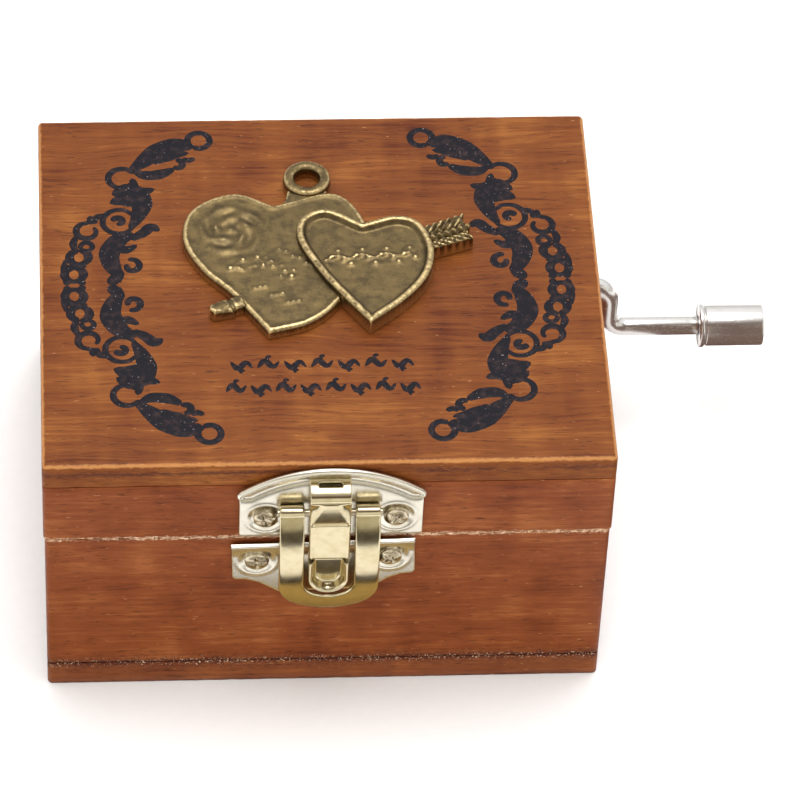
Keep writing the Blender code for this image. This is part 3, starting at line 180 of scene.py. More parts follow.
class EffectGroup:
    """A shader node group that is built once and placed in any number of materials."""

    name = ""
    inputs: dict[str, object] = {}
    outputs: dict[str, type] = {}
    _tree: bpy.types.NodeTree | None = None

    @classmethod
    def tree(cls) -> bpy.types.NodeTree:
        """The group's tree, written the first time that it is asked for.

        Returns:
            The tree.
        """
        if cls._tree is None:
            made = bpy.data.node_groups.new(cls.name, "ShaderNodeTree")
            for label, value in cls.inputs.items():
                size = 1 if isinstance(value, float) else len(value)
                kind = {1: "Float", 3: "Vector", 4: "Color"}[size]
                socket = made.interface.new_socket(label, in_out="INPUT", socket_type=f"NodeSocket{kind}")
                socket.default_value = value
            for label, kind in cls.outputs.items():
                made.interface.new_socket(label, in_out="OUTPUT", socket_type=f"NodeSocket{kind}")
            wiring = Wiring(made)
            given = made.nodes.new("NodeGroupInput").outputs
            results = cls.write(wiring, given)
            wiring.node("NodeGroupOutput", results)
            cls._tree = made
        return cls._tree

    @classmethod
    def write(cls, wiring: Wiring, given: bpy.types.NodeOutputs) -> dict:
        """Writes the group's nodes and gives the socket for each output."""
        raise NotImplementedError

    @classmethod
    def place(cls, wiring: Wiring, **values: object) -> bpy.types.NodeOutputs:
        """Places the group in a tree.

        Args:
            wiring: the tree that it is placed in.
            values: its inputs by name, with _ for a space.

        Returns:
            The placed group's outputs.
        """
        inputs = {label.replace("_", " "): value for label, value in values.items()}
        return wiring.node("ShaderNodeGroup", inputs, node_tree=cls.tree()).outputs


class WoodGrain(EffectGroup):
    """Stained fibres: slow colour drift, streaks, fine fibres, dark pores and pale flecks."""

    name = "wood_grain"
    inputs = {
        "Point": (0.0, 0.0, 0.0),
        "Dark": (0.10, 0.03, 0.012, 1.0),
        "Middle": (0.30, 0.095, 0.03, 1.0),
        "Light": (0.42, 0.15, 0.05, 1.0),
    }
    outputs = {"Colour": "Color", "Roughness": "Float", "Height": "Float"}

    @classmethod
    def write(cls, wiring: Wiring, given: bpy.types.NodeOutputs) -> dict:
        """Writes the fibres, which run along the point's X.

        Args:
            wiring: the group's own tree.
            given: the group's inputs.

        Returns:
            The group's outputs by name.
        """
        point = given["Point"]
        drift = wiring.drawn(point, (0.055, 0.16, 0.16), 3.0, 0.55)
        sway = wiring.drawn(point, (0.05, 0.2, 0.2), 1.0)
        bent = wiring.vector("ADD", point, wiring.node(
            "ShaderNodeCombineXYZ", {"Y": wiring.times(sway, 3.2)}
        ).outputs[0])
        streak = wiring.noise(wiring.vector("MULTIPLY", bent, (0.06, 1.5, 1.5)), 1.1, 5.0, 0.68)
        fibre = wiring.drawn(bent, (0.25, 6.5, 6.5), 3.0, 0.6)
        pore = wiring.drawn(bent, (0.62, 6.5, 6.5), 1.0)
        fleck = wiring.drawn(bent, (0.9, 4.6, 4.6), 1.0)
        figure = wiring.drawn(point, (0.22, 0.05, 0.12), 2.0)

        tone = wiring.scaled(streak, 0.52, wiring.times(drift, 0.5))
        tone = wiring.scaled(figure, 0.34, tone)
        tone = wiring.scaled(fibre, 0.26, tone)
        colour = wiring.mix(wiring.step(tone, 0.60, 0.82), given["Dark"], given["Middle"])
        colour = wiring.mix(wiring.step(tone, 0.80, 1.00), colour, given["Light"])
        pores = wiring.step(pore, 0.62, 0.72)
        colour = wiring.mix(wiring.times(pores, 0.5), colour, (0.022, 0.007, 0.004, 1.0))
        flecks = wiring.step(fleck, 0.735, 0.80)
        colour = wiring.mix(wiring.times(flecks, 0.6), colour, (0.46, 0.22, 0.09, 1.0))
        rough = wiring.scaled(fibre, 0.22, 0.30)
        height = wiring.scaled(pores, -0.6, wiring.times(fibre, 0.5))
        return {"Colour": colour, "Roughness": rough, "Height": height}


class BoardEdges(EffectGroup):
    """Where the box's edges are: frayed fibres at the seam, dark glue lines, a painted shade band under the
    lid's top rim, and a top rim painted pale, partly rubbed wear and partly painted highlight.
    """

    name = "board_edges"
    inputs = {
        "Point": (0.0, 0.0, 0.0),
        "Half Size": (32.0, 27.0, 0.0),
        "Seam": 25.6,
        # The height of the painted shade band under the lid's rounded top rim.
        "Shade Band Line": 36.6,
        "Floor Line": 3.65,
        "Top": 38.0,
    }
    outputs = {"Frayed": "Float", "Dark": "Float", "Rubbed": "Float"}

    @classmethod
    def write(cls, wiring: Wiring, given: bpy.types.NodeOutputs) -> dict:
        """Writes the three masks from the point's height and its distance from the outline.

        Args:
            wiring: the group's own tree.
            given: the group's inputs.

        Returns:
            The group's outputs by name.
        """
        point = given["Point"]
        axes = wiring.axes(point)
        ragged = wiring.drawn(point, (1.5, 1.5, 5.0), 4.0, 0.7)
        patchy = wiring.drawn(point, (0.16, 0.16, 0.4), 3.0, 0.6)
        crumb = wiring.noise(point, 4.2, 3.0, 0.7)

        def near(height: object, reach: float) -> Socket:
            """How near the point's height is to a line, wandering by the ragged noise."""
            off = wiring.math("ABSOLUTE", wiring.less(axes["Z"], height))
            edge = wiring.scaled(ragged, 2.0 * reach, off)
            return wiring.step(edge, 1.55 * reach, 0.95 * reach)

        seam = wiring.times(near(given["Seam"], 0.85), wiring.step(patchy, 0.28, 0.40))
        chips = wiring.times(near(given["Floor Line"], 1.5), wiring.step(crumb, 0.58, 0.63))
        frayed = wiring.most(wiring.times(seam, wiring.step(crumb, 0.36, 0.5)), chips)
        # A dark band under the lid's rounded top rim: painted shade, not a joint. It joins the glue lines in
        # the dark mask.
        band = wiring.times(near(given["Shade Band Line"], 1.1), wiring.step(patchy, 0.36, 0.5))
        smear = wiring.times(near(given["Floor Line"], 3.4), 0.55)
        band = wiring.most(wiring.times(band, 0.8), smear)
        glue_and_shade_band = wiring.most(near(given["Floor Line"], 1.8), band)
        foot = near(0.0, 0.8)
        dots = wiring.times(near(given["Seam"], 1.5), wiring.step(crumb, 0.46, 0.38))
        dark = wiring.most(wiring.most(glue_and_shade_band, foot), dots)

        half = wiring.axes(given["Half Size"])
        inside_x = wiring.less(half["X"], wiring.math("ABSOLUTE", axes["X"]))
        inside_y = wiring.less(half["Y"], wiring.math("ABSOLUTE", axes["Y"]))
        inside = wiring.math("MINIMUM", inside_x, inside_y)
        outside = wiring.step(inside, 0.75, 0.40)
        # The top rim is painted pale: partly rubbed wear, partly painted highlight along the rounded edge.
        rim = wiring.most(wiring.less(given["Top"], axes["Z"]), inside)
        rim = wiring.scaled(ragged, 0.5, rim)
        return {
            "Frayed": wiring.times(frayed, outside),
            "Dark": wiring.times(dark, outside),
            "Rubbed": wiring.step(rim, 0.72, 0.46),
        }


class MetalWear(EffectGroup):
    """What handling leaves on metal: hairline scratches, smudges, and edges rubbed brighter."""

    name = "metal_wear"
    inputs = {
        "Point": (0.0, 0.0, 0.0),
        "Colour": (0.8, 0.7, 0.5, 1.0),
        "Tarnish": (0.3, 0.22, 0.1, 1.0),
        "Tarnish Share": 0.1,
        "Rub": 0.0,
        "Rubbed": (0.9, 0.8, 0.6, 1.0),
        "Roughness": 0.2,
    }
    outputs = {"Colour": "Color", "Roughness": "Float", "Height": "Float"}

    @classmethod
    def write(cls, wiring: Wiring, given: bpy.types.NodeOutputs) -> dict:
        """Writes the wear from noise at three sizes and from the piece's rub mask.

        Args:
            wiring: the group's own tree.
            given: the group's inputs.

        Returns:
            The group's outputs by name.
        """
        point = given["Point"]
        cloud = wiring.noise(point, 0.8, 5.0, 0.65)
        grit = wiring.noise(point, 7.0, 3.0, 0.6)
        hair = wiring.drawn(point, (1.3, 9.0, 26.0), 2.0)
        stain = wiring.scaled(grit, 0.35, cloud)
        stain = wiring.times(wiring.step(stain, 0.55, 0.85), given["Tarnish Share"])
        edge = wiring.scaled(wiring.less(grit, 0.5), 0.5, given["Rub"])
        colour = wiring.mix(stain, given["Colour"], given["Tarnish"])
        colour = wiring.mix(wiring.step(edge, 0.35, 0.75), colour, given["Rubbed"])
        rough = wiring.scaled(cloud, 0.12, given["Roughness"])
        rough = wiring.scaled(wiring.step(hair, 0.6, 0.75), 0.05, rough)
        height = wiring.scaled(hair, 0.3, grit)
        return {"Colour": colour, "Roughness": rough, "Height": height}


# ---- finishes


def colour(red: float, green: float, blue: float) -> tuple[float, float, float, float]:
    """A linear colour with full alpha."""
    return (red, green, blue, 1.0)


def new_material(name: str, shader_values: dict) -> tuple[bpy.types.Material, Wiring, bpy.types.Node]:
    """A material with its Principled shader.

    Args:
        name: the material's name.
        shader_values: constants for the shader's own sockets.

    Returns:
        The material, its wiring, and the shader node.
    """
    made = bpy.data.materials.new(name)
    made.use_nodes = True
    shader = made.node_tree.nodes["Principled BSDF"]
    for label, value in shader_values.items():
        shader.inputs[label].default_value = value
    return made, Wiring(made.node_tree), shader


def link_bump(wiring: Wiring, shader: bpy.types.Node, height: object, depth: float) -> None:
    """Bends the shader's normal by a height from 0 to 1 that stands for a depth in millimetres."""
    inputs = {"Height": height, "Distance": depth * MM, "Strength": 1.0}
    wiring.feed(shader, {"Normal": wiring.node("ShaderNodeBump", inputs).outputs[0]})


@dataclass(frozen=True)
class StainedWood:
    """Red-brown stained wood under a thin satin varnish."""

    name: str
    grain: Grain
    offset: Point = (0.0, 0.0, 0.0)
    dark: Point = colour(0.108, 0.024, 0.008)
    middle: Point = colour(0.184, 0.046, 0.0130)
    light: Point = colour(0.275, 0.086, 0.025)
    # The dark mask's colour: glue lines, the foot, dots by the seam, and the painted shade band under the
    # lid's top rim.
    edge_dark: Point = colour(0.040, 0.009, 0.009)
    fray: Point = colour(0.85, 0.60, 0.40)
    # The top rim's pale colour: partly rubbed wear, partly painted highlight.
    rub: Point = colour(0.52, 0.24, 0.085)

    def make(self) -> bpy.types.Material:
        """The material, with its fibres running the way that the board was cut.

        Returns:
            The material.
        """
        made, wiring, shader = new_material(
            self.name, {"Coat Weight": 0.02, "Coat Roughness": 0.25, "Specular IOR Level": 0.10}
        )
        point = wiring.place_in_mm()
        axes = wiring.axes(point)
        turned = wiring.node(
            "ShaderNodeCombineXYZ", {i: axes[axis] for i, axis in enumerate(self.grain.value)}
        ).outputs[0]
        shifted = wiring.vector("ADD", turned, self.offset)
        grain = WoodGrain.place(wiring, Point=shifted, Dark=self.dark, Middle=self.middle, Light=self.light)
        edges = BoardEdges.place(wiring, Point=point)
        # The top rim painted pale, partly rubbed wear and partly painted highlight.
        shade = wiring.mix(wiring.times(edges["Rubbed"], 0.75), grain["Colour"], self.rub)
        # The dark mask, which holds the glue lines and the painted shade band under the lid's top rim.
        shade = wiring.mix(wiring.times(edges["Dark"], 0.8), shade, self.edge_dark)
        shade = wiring.mix(edges["Frayed"], shade, self.fray)
        rough = wiring.scaled(edges["Frayed"], 0.3, grain["Roughness"], clamp=True)
        wiring.feed(shader, {"Base Color": shade, "Roughness": rough})
        height = wiring.scaled(edges["Frayed"], 1.5, grain["Height"])
        link_bump(wiring, shader, height, 0.02)
        return made


@dataclass(frozen=True)
class WornMetal:
    """A metal or a plating, with smudges, hairlines and rubbed edges."""

    name: str
    body: Point
    tarnish: Point
    rubbed: Point
    roughness: float = 0.16
    tarnish_share: float = 0.1
    bump: float = 0.002
    rub_gain: float = 0.0

    def make(self) -> bpy.types.Material:
        """The material. Its rub mask is the mesh's own rub attribute, where it has one.

        Returns:
            The material.
        """
        made, wiring, shader = new_material(self.name, {"Metallic": 1.0})
        rub = wiring.node("ShaderNodeAttribute", attribute_name="rub").outputs["Fac"]
        wear = MetalWear.place(
            wiring,
            Point=wiring.place_in_mm(),
            Colour=colour(*self.body),
            Tarnish=colour(*self.tarnish),
            Tarnish_Share=self.tarnish_share,
            Rub=wiring.times(rub, self.rub_gain),
            Rubbed=colour(*self.rubbed),
            Roughness=self.roughness,
        )
        wiring.feed(shader, {"Base Color": wear["Colour"], "Roughness": wear["Roughness"]})
        link_bump(wiring, shader, wear["Height"], self.bump)
        return made


@dataclass(frozen=True)
class PrintInk:
    """Thick black-blue screen ink, a little uneven, with bright dust in it."""

    name: str = "scroll_ink"
    body: Point = colour(0.0082, 0.0074, 0.0112)
    thin: Point = colour(0.034, 0.020, 0.021)
    dust: Point = colour(0.36, 0.29, 0.29)

    def make(self) -> bpy.types.Material:
        """The material.

        Returns:
            The material.
        """
        made, wiring, shader = new_material(self.name, {"Specular IOR Level": 0.10})
        point = wiring.place_in_mm()
        body = wiring.mix(wiring.step(wiring.noise(point, 1.1, 4.0, 0.7), 0.46, 0.70), self.body, self.thin)
        speck = wiring.step(wiring.noise(point, 4.4, 1.0), 0.74, 0.78)
        shade = wiring.mix(speck, body, self.dust)
        grit = wiring.noise(point, 8.0, 3.0, 0.6)
        wiring.feed(shader, {"Base Color": shade, "Roughness": wiring.scaled(grit, 0.25, 0.34)})
        link_bump(wiring, shader, grit, 0.01)
        return made


@dataclass(frozen=True)
class MouldedPlastic:
    """Milky moulded plastic."""

    name: str = "milky_plastic"
    body: Point = colour(0.80, 0.78, 0.70)
    shade: Point = colour(0.62, 0.58, 0.48)

    def make(self) -> bpy.types.Material:
        """The material.

        Returns:
            The material.
        """
        made, wiring, shader = new_material(self.name, {"Subsurface Weight": 0.08, "Subsurface Scale": 0.001})
        point = wiring.place_in_mm()
        cloud = wiring.noise(point, 0.5, 3.0, 0.6)
        body = wiring.mix(wiring.step(cloud, 0.4, 0.7), self.body, self.shade)
        grit = wiring.noise(point, 6.0, 2.0)
        wiring.feed(shader, {"Base Color": body, "Roughness": wiring.scaled(grit, 0.2, 0.32)})
        link_bump(wiring, shader, grit, 0.004)
        return made


@dataclass(frozen=True)
class StudioPaper:
    """Matt backdrop paper or cloth."""

    name: str = "studio_paper"
    body: Point = colour(0.95, 0.95, 0.95)
    mottle: Point = colour(0.93, 0.93, 0.935)

    def make(self) -> bpy.types.Material:
        """The material, with a faint tooth.

        Returns:
            The material.
        """
        made, wiring, shader = new_material(self.name, {"Specular IOR Level": 0.1})
        point = wiring.place_in_mm()
        tooth = wiring.noise(point, 0.8, 3.0, 0.6)
        paper = wiring.mix(wiring.step(tooth, 0.2, 0.8), self.body, self.mottle)
        wiring.feed(shader, {"Base Color": paper, "Roughness": wiring.scaled(tooth, 0.1, 0.85)})
        return made


WOOD_FRONT = StainedWood("wood_long_boards", Grain.ALONG_X)
WOOD_SIDE = StainedWood("wood_side_boards", Grain.ALONG_Y, (31.0, 7.0, 3.0))
WOOD_TOP = StainedWood(
    "wood_lid_top",
    Grain.ALONG_X,
    (11.0, 4.0, 19.0),
    dark=colour(0.088, 0.018, 0.005),
    middle=colour(0.172, 0.049, 0.0108),
    light=colour(0.275, 0.095, 0.020),
)
WOOD_FLOOR = StainedWood(
    "wood_bottom_board", Grain.ALONG_X, (53.0, 9.0, 2.0), middle=colour(0.185, 0.055, 0.020)
)
LATCH_BRASS = WornMetal(
    "latch_brass", (0.70, 0.62, 0.42), (0.46, 0.35, 0.14), (0.80, 0.60, 0.20), 0.085, 0.3, 0.001, 0.6
)
PLATE_BRASS = WornMetal(
    "plate_brass", (0.80, 0.765, 0.665), (0.60, 0.52, 0.36), (0.68, 0.54, 0.26), 0.19, 0.12, 0.001, 0.55
)
SCREW_BRASS = WornMetal(
    "screw_plate", (0.70, 0.62, 0.46), (0.12, 0.08, 0.04), (0.90, 0.84, 0.70), 0.16, 0.7, 0.004, 0.4
)
HINGE_BRASS = WornMetal(
    "hinge_brass", (0.86, 0.74, 0.44), (0.40, 0.28, 0.12), (0.95, 0.88, 0.66), 0.18, 0.25, 0.002
)
CHARM_BRONZE = WornMetal(
    "antique_bronze", (0.168, 0.119, 0.053), (0.055, 0.042, 0.028), (0.66, 0.50, 0.25), 0.34, 0.62, 0.010, 1.0
)
CRANK_NICKEL = WornMetal(
    "crank_nickel", (0.76, 0.74, 0.72), (0.45, 0.40, 0.36), (0.92, 0.91, 0.90), 0.19, 0.12, 0.001
)
BED_ZINC = WornMetal(
    "bed_zinc", (0.60, 0.58, 0.53), (0.33, 0.31, 0.28), (0.80, 0.78, 0.74), 0.36, 0.5, 0.006, 0.8
)
COMB_STEEL = WornMetal(
    "comb_steel", (0.56, 0.56, 0.58), (0.22, 0.23, 0.28), (0.80, 0.80, 0.82), 0.24, 0.35, 0.002, 0.8
)
WORM_STEEL = WornMetal(
    "worm_steel", (0.55, 0.55, 0.56), (0.30, 0.27, 0.22), (0.80, 0.80, 0.80), 0.2, 0.4, 0.002, 0.8
)
DRUM_BRASS = WornMetal(
    "drum_brass", (0.84, 0.66, 0.33), (0.42, 0.26, 0.10), (0.95, 0.85, 0.58), 0.2, 0.3, 0.003, 0.8
)
INK = PrintInk()
PLASTIC = MouldedPlastic()
PAPER = StudioPaper()
DARK_CLOTH = StudioPaper("dark_cloth", colour(0.030, 0.022, 0.012), colour(0.024, 0.018, 0.010))
GREEN_CLOTH = StudioPaper("green_cloth", colour(0.42, 0.39, 0.30), colour(0.40, 0.37, 0.29))
GOLD_CLOTH = StudioPaper("gold_cloth", colour(0.46, 0.33, 0.12), colour(0.42, 0.30, 0.11))
WARM_CLOTH = StudioPaper("warm_cloth", colour(0.155, 0.105, 0.085), colour(0.135, 0.092, 0.074))

_made_materials: dict[str, bpy.types.Material] = {}


def finish_of(finish: object) -> bpy.types.Material:
    """The finish's material, made the first time that a piece asks for it."""
    if finish.name not in _made_materials:
        _made_materials[finish.name] = finish.make()
    return _made_materials[finish.name]


# ---- mesh tools


def mesh_from(name: str, points: Iterable, faces: Iterable) -> Mesh:
    """A mesh from points in millimetres, with its faces turned outward and its duplicates welded.

    Args:
        name: the mesh's name.
        points: the points.
        faces: each face's corners, as places in the points.

    Returns:
        The mesh.
    """
    mesh = bpy.data.meshes.new(name)
    mesh.from_pydata([tuple(float(c) * MM for c in p) for p in points], [], [tuple(f) for f in faces])
    shape = bmesh.new()
    shape.from_mesh(mesh)
    bmesh.ops.remove_doubles(shape, verts=shape.verts, dist=0.002 * MM)
    bmesh.ops.recalc_face_normals(shape, faces=shape.faces)
    shape.to_mesh(mesh)
    shape.free()
    return mesh


def shaded(mesh: Mesh, angle: float = 35.0) -> Mesh:
    """The mesh shaded smooth, with edges sharper than an angle in degrees left sharp."""
    mesh.shade_smooth()
    mesh.set_sharp_from_angle(angle=math.radians(angle))
    return mesh


def mark_rub(mesh: Mesh, gain: float, passes: int = 1) -> None:
    """Writes how proud each point stands of its neighbours, from 0 to 1, as the rub attribute.

    Args:
        mesh: the mesh that is marked.
        gain: how fast the mark rises with the bend at a point.
        passes: how often the mark is spread to the neighbours.
    """
    count = len(mesh.vertices)
    places, normals = np.empty((count, 3)), np.empty((count, 3))
    mesh.vertices.foreach_get("co", places.ravel())
    mesh.vertices.foreach_get("normal", normals.ravel())
    ends = np.empty(len(mesh.edges) * 2, int)
    mesh.edges.foreach_get("vertices", ends)
    first, second = ends.reshape(-1, 2).T
    lengths = np.maximum(np.linalg.norm(places[second] - places[first], axis=1), 1e-9)
    along = (places[second] - places[first]) / lengths[:, None]
    bend, shared = np.zeros(count), np.zeros(count)
    for here, sign in ((first, 1.0), (second, -1.0)):
        np.add.at(bend, here, -sign * np.einsum("ij,ij->i", along, normals[here]))
        np.add.at(shared, here, 1.0)
    rub = np.clip(bend / np.maximum(shared, 1) * gain, -1, 1)
    for _ in range(passes):
        spread = np.zeros(count)
        np.add.at(spread, first, rub[second])
        np.add.at(spread, second, rub[first])
        rub = 0.5 * rub + 0.5 * spread / np.maximum(shared, 1)
    mark = mesh.attributes.new("rub", "FLOAT", "POINT")
    mark.data.foreach_set("value", np.clip(rub, 0, 1).astype(np.float32))


def resampled(points: Sequence[Point], spacing: float, closed: bool = False) -> Array:
    """Points at an even spacing along a line through the given points, with its corners kept.

    Args:
        points: the points, in order.
        spacing: the spacing that is aimed at.
        closed: whether the last point joins the first.

    Returns:
        The points.
    """
    line = np.array(points, float)
    if closed:
        line = np.vstack([line, line[:1]])
    out = []
    for start, end in zip(line[:-1], line[1:]):
        steps = max(1, int(round(np.linalg.norm(end - start) / spacing)))
        out += [start + (end - start) * k / steps for k in range(steps)]
    if not closed:
        out.append(line[-1])
    return np.array(out)


def curve_through(points: Sequence[Point], steps: int) -> Array:
    """A smooth curve through the given points, of any dimension, with a number of steps between them.

    Args:
        points: the points, in order.
        steps: how many steps there are from one to the next.

    Returns:
        The curve's points.
    """
    line = np.array(points, float)
    line = np.vstack([2 * line[0] - line[1], line, 2 * line[-1] - line[-2]])
    out = []
    for before, start, end, after in zip(line, line[1:], line[2:], line[3:]):
        slope, bend = end - before, 2 * before - 5 * start + 4 * end - after
        twist = 3 * start - before - 3 * end + after
        for t in np.arange(steps) / steps:
            out.append(0.5 * (2 * start + slope * t + bend * t * t + twist * t**3))
    return np.array([*out, line[-2]])


def arc_points(centre: Point, radius: float, start: float, end: float, steps: int) -> list[Point]:
    """Points round a centre, from a start to an end angle in degrees."""
    angles = np.radians(np.linspace(start, end, steps + 1))
    return [(centre[0] + radius * math.cos(a), centre[1] + radius * math.sin(a)) for a in angles]


def unit(rows: Array) -> Array:
    """The rows, each scaled to a length of 1."""
    return rows / np.maximum(np.linalg.norm(rows, axis=1), 1e-9)[:, None]


def run_along(path: Array) -> Array:
    """How far along a path each of its points is."""
    return np.concatenate([[0], np.cumsum(np.linalg.norm(np.diff(path, axis=0), axis=1))])


def rises(value: Array, at: float, soft: float) -> Array:
    """A smooth step from 0 below a value to 1 above it."""
    return 1 / (1 + np.exp((at - value) / soft))


def falls(value: Array, at: float, soft: float) -> Array:
    """A smooth step from 1 below a value to 0 above it."""
    return rises(-value, -at, soft)


def ridge(value: Array, at: float, width: float) -> Array:
    """A rounded ridge, 1 high where the value is met and fading out within about two widths."""
    return np.exp(-(((value - at) / width) ** 2))


def off_line(points: Array, line: Array) -> Array:
    """Each point's distance from the nearest of a line's points."""
    return np.min(np.linalg.norm(points[:, None] - line[None], axis=2), axis=1)


def linked(name: str, data: bpy.types.ID) -> bpy.types.Object:
    """A new object in the scene."""
    made = bpy.data.objects.new(name, data)
    bpy.context.scene.collection.objects.link(made)
    return made


def edge_distance(points: Array, loops: Sequence[Array]) -> Array:
    """Each point's distance from the nearest loop, above 0 inside the outline and below 0 outside.

    Args:
        points: the points.
        loops: the outline and its holes.

    Returns:
        The distances.
    """
    distance = np.full(len(points), 1e9)
    crossings = np.zeros(len(points), int)
    for loop in loops:
        ends = np.roll(loop, -1, axis=0)
        for start, end in zip(loop, ends):
            side = end - start
            share = np.clip(((points - start) @ side) / max(side @ side, 1e-12), 0, 1)
            distance = np.minimum(distance, np.linalg.norm(points - start - share[:, None] * side, axis=1))
            level = (start[1] > points[:, 1]) != (end[1] > points[:, 1])
            rise = side[1] if abs(side[1]) > 1e-12 else 1e-12
            crossings += level & (points[:, 0] < side[0] * (points[:, 1] - start[1]) / rise + start[0])
    return np.where(crossings % 2 == 1, distance, -distance)


@dataclass
class Plate:
    """A flat outline with holes, filled with fine points that each have a height of their own.

    Fields: outline and holes are closed loops in the sheet's plane; thickness is the sheet's; rounding
    is the radius of its edges; spacing is the distance between the points.
    """

    outline: Sequence[Point]
    thickness: float
    rounding: float = 0.12
    spacing: float = 0.25
    holes: list[Sequence[Point]] = field(default_factory=list)
    back_rounded: bool = False

    def mesh(self, name: str, relief: Heights, placing: Placing) -> Mesh:
        """The plate as a closed mesh.

        Args:
            name: the mesh's name.
            relief: the height added to the top at each (u, v).
            placing: turns rows of (u, v, height over the back) into rows of (x, y, z).

        Returns:
            The mesh.
        """
        loops = [resampled(loop, self.spacing * 0.7, closed=True) for loop in (self.outline, *self.holes)]
        flat = self._points(loops)
        verts, triangles = self._triangles(flat, loops)
        inset = np.clip(edge_distance(verts, loops), 0, None)
        inset[: sum(map(len, loops))] = 0
        drop = self.rounding - np.sqrt(
            np.clip(self.rounding**2 - np.clip(self.rounding - inset, 0, None) ** 2, 0, None)
        )
        top = self.thickness - drop + relief(verts[:, 0], verts[:, 1])
        back = drop if self.back_rounded else np.zeros(len(verts))
        count = len(verts)
        places = placing(np.vstack([np.column_stack([verts, top]), np.column_stack([verts, back])]))
        faces = [tuple(t) for t in triangles]
        faces += [tuple(count + k for k in reversed(t)) for t in triangles]
        start = 0
        for loop in loops:
            size = len(loop)
            for k in range(size):
                a, b = start + k, start + (k + 1) % size
                faces.append((a, b, count + b, count + a))
            start += size
        return mesh_from(name, places, faces)

    def _points(self, loops: list[Array]) -> Array:
        """The loops' points, rows of points just inside them, and a grid over the rest.

        Args:
            loops: the outline, then the holes.

        Returns:
            The points, the loops' own ones first.
        """
        low, high = loops[0].min(0), loops[0].max(0)
        across = np.arange(low[0], high[0], self.spacing)
        rise = self.spacing * math.sqrt(3) / 2
        rows = []
        for k, v in enumerate(np.arange(low[1], high[1], rise)):
            rows.append(np.column_stack([across + (k % 2) * self.spacing / 2, np.full(len(across), v)]))
        grid = np.vstack(rows)
        kept = [np.vstack(loops)]
        insets = [share * self.rounding for share in (0.12, 0.4, 1.0)]
        for inset in insets:
            for loop in loops:
                side = unit(np.roll(loop, -1, axis=0) - np.roll(loop, 1, axis=0))
                for sign in (1, -1):
                    moved = loop + sign * inset * np.column_stack([-side[:, 1], side[:, 0]])
                    kept.append(moved[edge_distance(moved, loops) > 0.85 * inset])
        kept.append(grid[edge_distance(grid, loops) > self.rounding + 0.45 * self.spacing])
        return np.vstack(kept)

    def _triangles(self, flat: Array, loops: list[Array]) -> tuple[Array, list]:
        """The triangles inside the outline, with the loops' points first.

        Args:
            flat: the points to join.
            loops: the outline, then the holes.

        Returns:
            The points, and each triangle's corners.
        """
        edges, start = [], 0
        for loop in loops:
            size = len(loop)
            edges += [(start + k, start + (k + 1) % size) for k in range(size)]
            start += size
        verts, _, triangles, origins, _, _ = delaunay_2d_cdt(
            [Vector(p) for p in flat], edges, [], 0, 1e-6, True
        )
        made = np.array([tuple(v) for v in verts])
        order = {old[0]: new for new, old in enumerate(origins) if old}
        front = [order[k] for k in range(start)]
        rest = [k for k in range(len(made)) if k not in set(front)]
        place = {old: new for new, old in enumerate(front + rest)}
        corners = np.array([[place[k] for k in t] for t in triangles])
        made = made[front + rest]
        middle = made[corners].mean(1)
        return made, corners[edge_distance(middle, loops) > 0].tolist()


def lying(height: float) -> Placing:
    """Lays a plate on a level plane: u is X, v is Y."""
    return lambda rows: rows + (0, 0, height)


def facing_front(y: float, turn: float = 0.0, about: Point = (0.0, 0.0)) -> Placing:
    """Stands a plate against the front: u is X, v is Z, and its height stands out towards -Y.

    Args:
        y: where its back is.
        turn: how far it is turned in its own plane, in radians.
        about: the (X, Z) point that it is turned about.

    Returns:
        The placing.
    """
    cosine, sine = math.cos(turn), math.sin(turn)

    def placed(rows: Array) -> Array:
        """Turns the rows about the point and stands them up."""
        u, v = rows[:, 0] - about[0], rows[:, 1] - about[1]
        across, up = cosine * u - sine * v, sine * u + cosine * v
        return np.column_stack([about[0] + across, y - rows[:, 2], about[1] + up])

    return placed


def swept_faces(rows: int, around: int) -> list[tuple[int, ...]]:
    """The faces of a closed section that is swept along rows of points, with both of its ends.

    Args:
        rows: how many rows there are.
        around: how many points there are in a row.

    Returns:
        Each face's corners.
    """
    faces = [tuple(range(around)), tuple(range((rows - 1) * around, rows * around))]
    for k in range(rows - 1):
        for s in range(around):
            here, there, n = k * around, (k + 1) * around, (s + 1) % around
            faces.append((here + s, here + n, there + n, there + s))
    return faces


def frames_along(path: Array) -> tuple[Array, Array]:
    """Two directions square to a path at each of its points, carried along it without twist.

    Args:
        path: the path's points.

    Returns:
        The first and the second direction at each point.
    """
    tangents = unit(np.gradient(path, axis=0))
    seed = np.array([0.0, 0.0, 1.0]) if abs(tangents[0][2]) < 0.9 else np.array([0.0, 1.0, 0.0])
    side = np.cross(tangents[0], seed)
    sides, ups = [], []
    for tangent in tangents:
        side = side - (side @ tangent) * tangent
        side /= np.linalg.norm(side)
        sides.append(side)
        ups.append(np.cross(side, tangent))
    return np.array(sides), np.array(ups)


